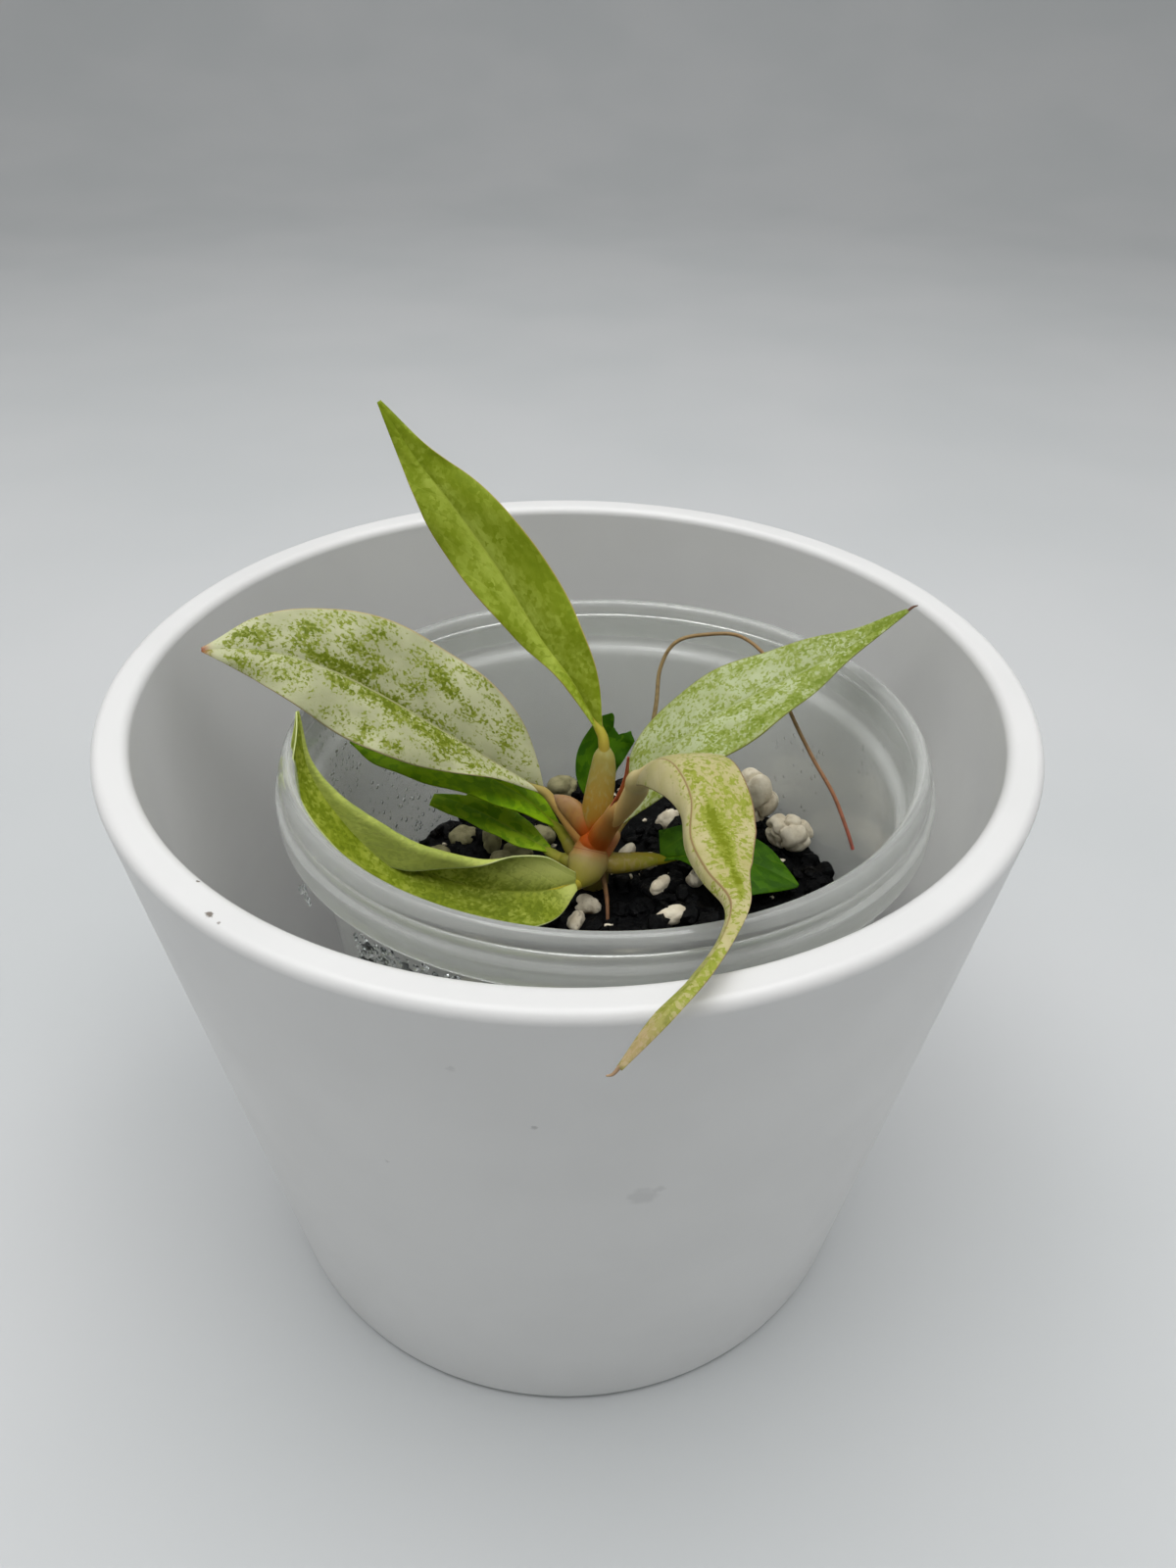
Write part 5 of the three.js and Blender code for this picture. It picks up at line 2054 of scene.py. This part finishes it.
            fleck_size=0.5, patch_size=2.6, coarse=0.9, fine=0.6, softness=0.25, vein_share=0.05,
            underside_share=0.38, blush="e2e88e",
        ),
        green=0.02,
        # Painted light: pale patches near the base, on parts of the blade that lie in shade.
        blushes=(
            Patch(0.12, 0.7, 0.16, 0.5, 0.55),
            Patch(0.02, -0.6, 0.05, 0.8, 0.5),
        ),
        greens=(
            Patch(0.35, -0.5, 0.3, 0.5, 0.15),
            Patch(0.06, 0.8, 0.14, 0.35, -0.6),
            Patch(0, -0.4, 0.08, 0.8, -0.4),
        ),
    ),
    Leaf(
        node="leaf_low_left",
        slot="leaf_dark",
        petiole=((1.6, 6.6, 80.6), (0.3, 7.2, 81.7), (-1.2, 8.2, 83.4), (-2.3, 9, 84.8)),
        petiole_radii=(1.5, 1.4, 1.2, 1),
        blade=Sheet(
            midrib=((-2.9, 9.4, 85.6), (-10, 12.5, 90.5), (-18.5, 13.5, 95), (-29, 12.5, 99),
                    (-37, 11.5, 101.5), (-43, 11, 104)),
            across=(0.2, 1, 0.25),
            left=Half((0.8, 4.4, 6, 6.2, 5.4, 3.6, 0.4), (10, 10), (-10, -10)),
            right=Half((0.8, 4, 6, 6.6, 6, 4, 0.4), (15, 15), (-20, -20)),
            wave=0.3,
        ),
        finish=low_finish(
            "leaf_low_green", ground="87ae0c", shade="7ca304", fleck="6b9402", deep="5b8601",
            rib="859b19", margin="719204", stalk="85901d", stalk_foot="9b8f3c", underside="7ca20c",
        ),
        green=0.08,
    ),
    Leaf(
        node="leaf_notched",
        slot="leaf_dark",
        petiole=((1.4, 5.4, 79), (-1, 6.2, 79.1), (-2.6, 7.2, 78.9), (-3.8, 8, 79.2)),
        petiole_radii=(1.5, 1.3, 1.2, 1.1),
        blade=Sheet(
            midrib=((-4.4, 8.5, 79.8), (-9, 10.4, 81.4), (-14.5, 12.4, 83.6),
                    (-21, 14.4, 86), (-28.2, 15.8, 88)),
            across=(0.2, 1, 0.3),
            left=Half((0.8, 3, 3.6, 3.7, 3.2), (10, 10), (-10, -10)),
            right=Half((0.8, 3, 4.4, 5.8, 7.6), (10, 10), (-10, -10)),
            wave=0.2,
        ),
        finish=low_finish(
            "leaf_notched_green", ground="92b21d", shade="83a513", fleck="709709", deep="5c8604",
            rib="8a9d2c", margin="779c0e", stalk="8c962e", stalk_foot="9b8f3c", underside="83a515",
        ),
        reach=(1, 1, 1, 1, 0.8, 0.78, 0.97),
        green=0.05,
    ),
    Leaf(
        node="leaf_back",
        slot="leaf_dark",
        petiole=((4.7, 10.6, 83), (4.7, 12.4, 84.6), (4.7, 13.4, 86)),
        petiole_radii=(1.1, 1, 0.9),
        blade=Sheet(
            midrib=((4.7, 14.4, 87.6), (4.6, 16.6, 91), (5, 19.6, 95), (7.5, 22.4, 99.4), (10, 24, 102.4)),
            across=(0.9, -0.1, -0.3),
            left=Half((0.8, 3.4, 4.2, 3.8, 3), (12, 12), (-10, -10)),
            right=Half((0.8, 3.6, 5, 5.4, 4.8), (12, 12), (-10, -10)),
            wave=0.3,
        ),
        finish=low_finish(
            "leaf_back_green", ground="466e02", shade="3d6601", fleck="325a01", deep="284f01",
            rib="547c08", margin="3a6402", stalk="6a8014", stalk_foot="94893a", underside="3f6802",
            gloss=0.1,
        ),
        reach=(0.84, 0.97, 0.93, 0.84, 0.8, 0.94, 0.86),
        green=0.08,
    ),
    Leaf(
        node="leaf_low_right",
        slot="leaf_dark",
        petiole=((12.2, 5, 80), (14.6, 5.4, 79.9), (16.8, 6.2, 79.6)),
        petiole_radii=(1.9, 1.7, 1.4),
        blade=Sheet(
            midrib=((18.4, 6.8, 79.4), (24, 6.3, 80.6),
                    (30, 5.5, 81.3), (37.5, 3.5, 80.8), (45.4, -0.6, 79)),
            across=(0, -1, -0.3),
            left=Half((6, 6.4, 8, 8, 6.2, 4, 0.4), (30, 12, 8), (-15, -15)),
            right=Half((0.8, 0.9, 4, 8.8, 9.2, 6.6, 0.4), (12, 8), (-20, -20)),
            wave=0.3,
        ),
        finish=low_finish(
            "leaf_low_right_green", ground="446e04", shade="3b6402", fleck="325a01", deep="2a5001",
            rib="58780c", margin="305c01", stalk="7c8014", stalk_foot="94802c", underside="5c7808",
            vein_share=0.4, gloss=0.1,
        ),
        green=0.06,
    ),
)


def heart(points: np.ndarray) -> np.ndarray:
    """How near points lie to the orange-red middle of the crown, from 0 to 1."""
    middle, reach = np.array([4.7, 4.8, 86]), 4.4
    return np.exp(-((np.linalg.norm(points - middle, axis=-1) / reach) ** 3))


def dress_crown(shell: Shell, name: str, finish: SheathFinish, along: np.ndarray, edge: np.ndarray) -> None:
    """Makes one of the pieces that stand for the stem.

    Args:
        shell: The piece's form.
        name: Its plain name.
        finish: The finish that covers it.
        along: How far each of its points lies from its foot to its tip, from 0 to 1.
        edge: How much of the rim's colour each of its points has; on a wing this is its own rim, on a sheath
            a line of painted shade.
    """
    piece = shell.piece(name, finish.material())
    mark(piece, "along", along)
    mark(piece, "edge", edge)
    mark(piece, "heart", heart(shell.points))
    place(piece, "stem", "stem")


@dataclass(frozen=True)
class Sheath:
    """A sheath at the crown: a tapered, slightly flat tube and its colours.

    The shade line is how far along the tube a thin dark line of painted shade runs round it, where the
    crown's middle overlaps it. Below zero there is none.
    """

    name: str
    points: Path
    radii: Row
    finish: SheathFinish
    flatten: float = 1.0
    shade_line: float = -1.0

    SIDES, ROWS = 36, 64
    SHADE_LINE_WIDTH = 0.03

    def build(self) -> None:
        """Makes the sheath."""
        shell, along = tube(self.points, self.radii, self.SIDES, self.ROWS, self.flatten)
        # The edge mark here is the line of painted shade, in the rim colour.
        dress_crown(shell, self.name, self.finish, along, bell(along - self.shade_line, self.SHADE_LINE_WIDTH))


@dataclass(frozen=True)
class Wing:
    """A small open sheath at the crown: a cupped sheet with a coloured rim."""

    name: str
    sheet: Sheet
    finish: SheathFinish
    thickness: float = 0.6

    ROWS = 60
    COLUMNS = 28
    THINNER = 0.6
    TIP_FROM = 0.6

    def build(self) -> None:
        """Makes the wing."""
        t = np.linspace(0, 1, self.ROWS + 1)[:, None]
        out = np.linspace(-1, 1, self.COLUMNS + 1)[None, :]
        t, out = np.broadcast_arrays(t, out)
        half = 0.5 * self.thickness * (1 - self.THINNER * np.abs(out))
        edge = np.maximum(np.abs(out), (t - self.TIP_FROM) / (1 - self.TIP_FROM))
        shell = self.sheet.thick(t, out, half, -half)
        dress_crown(shell, self.name, self.finish, np.tile(t.ravel(), 2), np.tile(edge.ravel(), 2))


@dataclass
class Crown:
    """The short stem with its closed sheaths, from the foot up, and a thin red spike."""

    sheaths: tuple[Sheath, ...] = (
        Sheath(
            "stem_core",
            ((4.6, 9.6, 52), (4.6, 9, 64), (4.4, 7.8, 76), (4.4, 5.6, 82), (4.6, 5, 85.6), (4.8, 4.9, 88)),
            (2.8, 3.2, 3.6, 3.2, 2.9, 0.9),
            SheathFinish("stem_skin", "5f5a20", "8a7c3c", "b25a2a", "7a5a34"),
        ),
        Sheath(
            "sheath_upright",
            ((4.6, 6, 84.2), (5.2, 7.6, 90.9), (5.9, 9.6, 95.8), (6.3, 11, 98.8), (6.4, 12, 101.2),
             (6.4, 12.7, 103)),
            (2.9, 3.0, 2.8, 2.5, 2, 0.8),
            SheathFinish(
                "sheath_upright_skin", "a4741c", "92803a", "94904e", "9c9a66", streak_share=0.35
            ),
            flatten=0.8,
        ),
        Sheath(
            "sheath_left",
            ((4.6, 5, 85.4), (2.8, 6.2, 88.2), (0.6, 7.8, 90.4), (-1.6, 9.1, 91.6), (-3.4, 10.2, 92.3)),
            (1.8, 2.2, 2.2, 1.6, 0.3),
            SheathFinish("sheath_left_skin", "a35a20", "95703c", "94785a", "7c4c34", streak_share=0.25),
            flatten=0.6,
        ),
        Sheath(
            "sheath_drooping",
            ((5.1, 4.6, 84), (6.5, 3.6, 88.6), (8.1, 2.4, 92.4), (9.4, 1.1, 96), (10.3, 0, 98.8)),
            (2.6, 2.4, 2.2, 2, 0.5),
            SheathFinish("sheath_drooping_skin", "aa5a1c", "a87036", "b8985e", "9c6a3c"),
            flatten=0.85,
        ),
        Sheath(
            "sheath_right",
            ((5.6, 5.2, 82.4), (7.2, 5.4, 84.6), (8.6, 5.8, 86.8), (9.6, 6.1, 88.2)),
            (2.6, 2.2, 1.7, 0.4),
            SheathFinish("sheath_right_skin", "b56a3c", "b27c54", "a89462", "9c6a48"),
        ),
        Sheath(
            "sheath_front",
            ((4.4, 4.8, 84.6), (4.1, 3.9, 83.4), (3.7, 2.6, 82.1), (2.9, 0.8, 80.9), (1.8, -0.8, 79.8),
             (0.8, -2, 79)),
            (3.1, 3.5, 4, 3.6, 2.3, 0.5),
            # Its dark rim colour is the painted shade line where the crown's middle overlaps the top of this
            # sheath, and also tints faint streaks.
            SheathFinish(
                "sheath_front_skin", "94683a", "92844c", "969220", "701e04",
                heart_share=0.35, streak_share=0.05,
            ),
            flatten=0.75,
            shade_line=0.2,
        ),
        Sheath(
            "sheath_low_right",
            ((5.4, 4.6, 80.6), (8.6, 4.4, 80), (11.8, 4.6, 80.1), (14.8, 5.2, 80), (17.4, 6, 79.8)),
            (2.2, 2.4, 2.2, 1.8, 1),
            SheathFinish(
                "sheath_low_right_skin", "8e7a34", "857a24", "80801c", "9a8a5c", streak_share=0.5
            ),
            flatten=0.85,
        ),
        Sheath(
            "sheath_low_left",
            ((3.2, 6.4, 80), (1.4, 6.8, 80.8), (-0.4, 7.8, 82.6), (-2, 8.8, 84.4)),
            (2.4, 2.1, 1.6, 0.4),
            SheathFinish("sheath_low_left_skin", "a07a40", "8c8034", "80841c", "94884c"),
        ),
        Sheath(
            "sheath_notched",
            ((3.4, 5.4, 78.6), (1.2, 5.4, 78.8), (-1, 6.2, 79.1), (-2.8, 7.3, 78.9)),
            (2.3, 2, 1.6, 0.4),
            SheathFinish("sheath_notched_skin", "96803c", "868030", "7c801c", "94884c"),
        ),
        Sheath(
            "sheath_back",
            ((4.6, 7.6, 80.6), (4.7, 9.6, 82.4), (4.7, 11.6, 84), (4.7, 13, 85.6)),
            (2.2, 2, 1.5, 0.4),
            SheathFinish("sheath_back_skin", "8c7a38", "7a7e28", "6c8014", "8a9038"),
        ),
    )
    spike: Wing = Wing(
        "red_spike",
        Sheet(
            midrib=((7.9, 2.6, 94), (8.6, 2, 97), (9.6, 1.5, 100.2), (10.4, 0.7, 104.4), (10.7, -0.1, 109)),
            across=(0.9, 0.3, 0.1),
            left=Half((1.7, 1.5, 0.9, 0.5, 0.15), (10, 20), (40, 60)),
            right=Half((1.7, 1.3, 0.7, 0.45, 0.15), (10, 20), (40, 60)),
        ),
        SheathFinish("spike_skin", "b8642c", "ba7446", "b4784e", "a04e3a"),
    )

    def build(self) -> None:
        """Makes every sheath."""
        for part in (*self.sheaths, self.spike):
            part.build()


@dataclass(frozen=True)
class Root:
    """A bare root along a line of points."""

    node: str
    points: Path
    radii: Row
    finish: RootFinish

    SIDES = 16
    ROWS_TO_A_POINT = 30

    def build(self) -> None:
        """Makes the root in place of its solid."""
        rows = self.ROWS_TO_A_POINT * (len(self.points) - 1)
        shell, along = tube(self.points, self.radii, self.SIDES, rows)
        piece = shell.piece(f"{self.node}_skin", self.finish.material())
        mark(piece, "along", along)
        place(piece, "root", self.node)


# One root loops over the back of the cup and one dips into the mix
ROOTS: tuple[Root, ...] = (
    Root(
        "aerial_root",
        ((7.6, 9, 82), (11, 15.5, 83.5), (14.7, 23, 88), (17.3, 32, 99.5), (18.2, 37.5, 106),
         (21.4, 40, 111), (28, 41, 112.4), (35, 39, 113), (40.4, 30, 111.6), (43, 18, 107.9),
         (46.8, 10, 102.8), (50.7, 5, 97.8), (53.4, 1, 92.4), (54.8, -1, 88.9)),
        (1, 0.8, 0.6, 0.48, 0.42, 0.4, 0.4, 0.38, 0.38, 0.38, 0.38, 0.38, 0.36, 0.34),
        RootFinish("aerial_root_skin", "867a4c", "94774e", "a04a40"),
    ),
    Root(
        "soil_root",
        ((6.6, 4.6, 77), (7.2, 1.4, 75.8), (7.6, -2, 75), (7.8, -6, 71.6)),
        (0.7, 0.5, 0.4, 0.36),
        RootFinish("soil_root_skin", "8c7045", "7c5636", "6a4630"),
    ),
)


# The studio


class Lamp(Enum):
    """The soft lamps: place, the point it faces, side length in metres and power in watts."""

    OVERHEAD = ((0.0, -0.03, 1.1), (0.0, -0.02, 0.1), 0.9, 7)
    UPPER_LEFT = ((-0.5, -0.1, 1.0), (-0.2, -0.1, 0.1), 0.8, 2.2)
    UPPER_RIGHT = ((0.5, -0.1, 1.0), (0.2, -0.1, 0.1), 0.8, 1.8)
    WIDE = ((0.0, -0.15, 1.5), (0.0, -0.1, 0.1), 1.6, 2.9)
    LEFT = ((-0.85, -0.05, 0.42), (0.0, 0.0, 0.08), 0.6, 0.35)
    RIGHT = ((0.85, -0.05, 0.42), (0.0, 0.0, 0.08), 0.6, 0.45)
    BACKGROUND = ((0.0, 1.1, 0.9), (0.0, 1.7, 0.0), 0.8, 0.7)


@dataclass
class Studio:
    """A round sweep of pale paper, soft lamps and the camera.

    The camera and the lamps are in metres and degrees, and the sweep is in millimetres.
    """

    camera_place: Point = (0.00336, -0.17832, 0.23240)
    camera_pitch: float = 36.02
    camera_roll: float = 1.0
    lens: float = 27.045
    sensor: float = 36.0
    clip_start: float = 0.01
    floor_radius: float = 1100
    sweep_radius: float = 900
    sweep_height: float = 1100
    sweep_steps: int = 24
    sweep_sides: int = 96
    sky: str = "dbdbda"
    sky_strength: float = 0.31

    def _sweep(self) -> None:
        """The floor, which curves up into a wall all round."""
        reach, bend = self.floor_radius, self.sweep_radius
        line = [(0.0, 0.0), (reach / 2, 0.0)]
        for angle in np.radians(np.linspace(-90, 0, self.sweep_steps + 1)):
            line.append((reach + bend * math.cos(angle), bend + bend * math.sin(angle)))
        line.append((reach + bend, self.sweep_height))
        turned = lathe([*line, (0.0, self.sweep_height)], self.sweep_sides)
        lid = len(turned.points) - 1
        open_top = Shell(turned.points[:-1], [face for face in turned.faces if lid not in face])
        open_top.piece("floor", StudioPaper().material())

    def _lamp(self, lamp: Lamp) -> None:
        """One soft square lamp.

        Args:
            lamp: Which lamp it is.
        """
        spot, target, size, power = lamp.value
        data = bpy.data.lights.new(lamp.name.lower(), "AREA")
        data.shape = "SQUARE"
        data.size = size
        data.energy = power
        made = bpy.data.objects.new(data.name, data)
        made.location = spot
        made.rotation_euler = (Vector(target) - Vector(spot)).to_track_quat("-Z", "Y").to_euler()
        made.visible_camera = False
        bpy.context.scene.collection.objects.link(made)

    def _camera(self) -> None:
        """The camera at the photograph's own angle."""
        data = bpy.data.cameras.new("camera")
        data.lens = self.lens
        data.sensor_width = self.sensor
        data.clip_start = self.clip_start
        made = bpy.data.objects.new("camera", data)
        turn = Matrix.Rotation(math.radians(90 - self.camera_pitch), 4, "X")
        roll = Matrix.Rotation(math.radians(self.camera_roll), 4, "Z")
        made.matrix_world = Matrix.Translation(self.camera_place) @ turn @ roll
        bpy.context.scene.collection.objects.link(made)
        bpy.context.scene.camera = made

    def _sky(self) -> None:
        """Even light from above the sweep."""
        world = bpy.data.worlds.new("sky")
        world.use_nodes = True
        back = world.node_tree.nodes["Background"]
        back.inputs["Color"].default_value = colour(self.sky)
        back.inputs["Strength"].default_value = self.sky_strength
        bpy.context.scene.world = world

    def build(self) -> None:
        """Sets up the floor, the lamps, the sky, the camera and the picture's tone."""
        self._camera()
        self._sweep()
        for lamp in Lamp:
            self._lamp(lamp)
        self._sky()
        bpy.context.scene.view_settings.view_transform = "Standard"
        LOG.info("studio: floor, %d lamps, camera", len(Lamp))


def main() -> None:
    """Builds every sub-assembly in order."""
    logging.basicConfig(level=logging.INFO, format="%(name)s: %(message)s")
    cup = ClearCup()
    mix = GrowingMix(cup)
    assemblies = (Studio(), WhitePot(), cup, mix, PaleLumps(mix), Crown(), *LEAVES, *ROOTS)
    for assembly in assemblies:
        assembly.build()


if __name__ == "__main__":
    main()
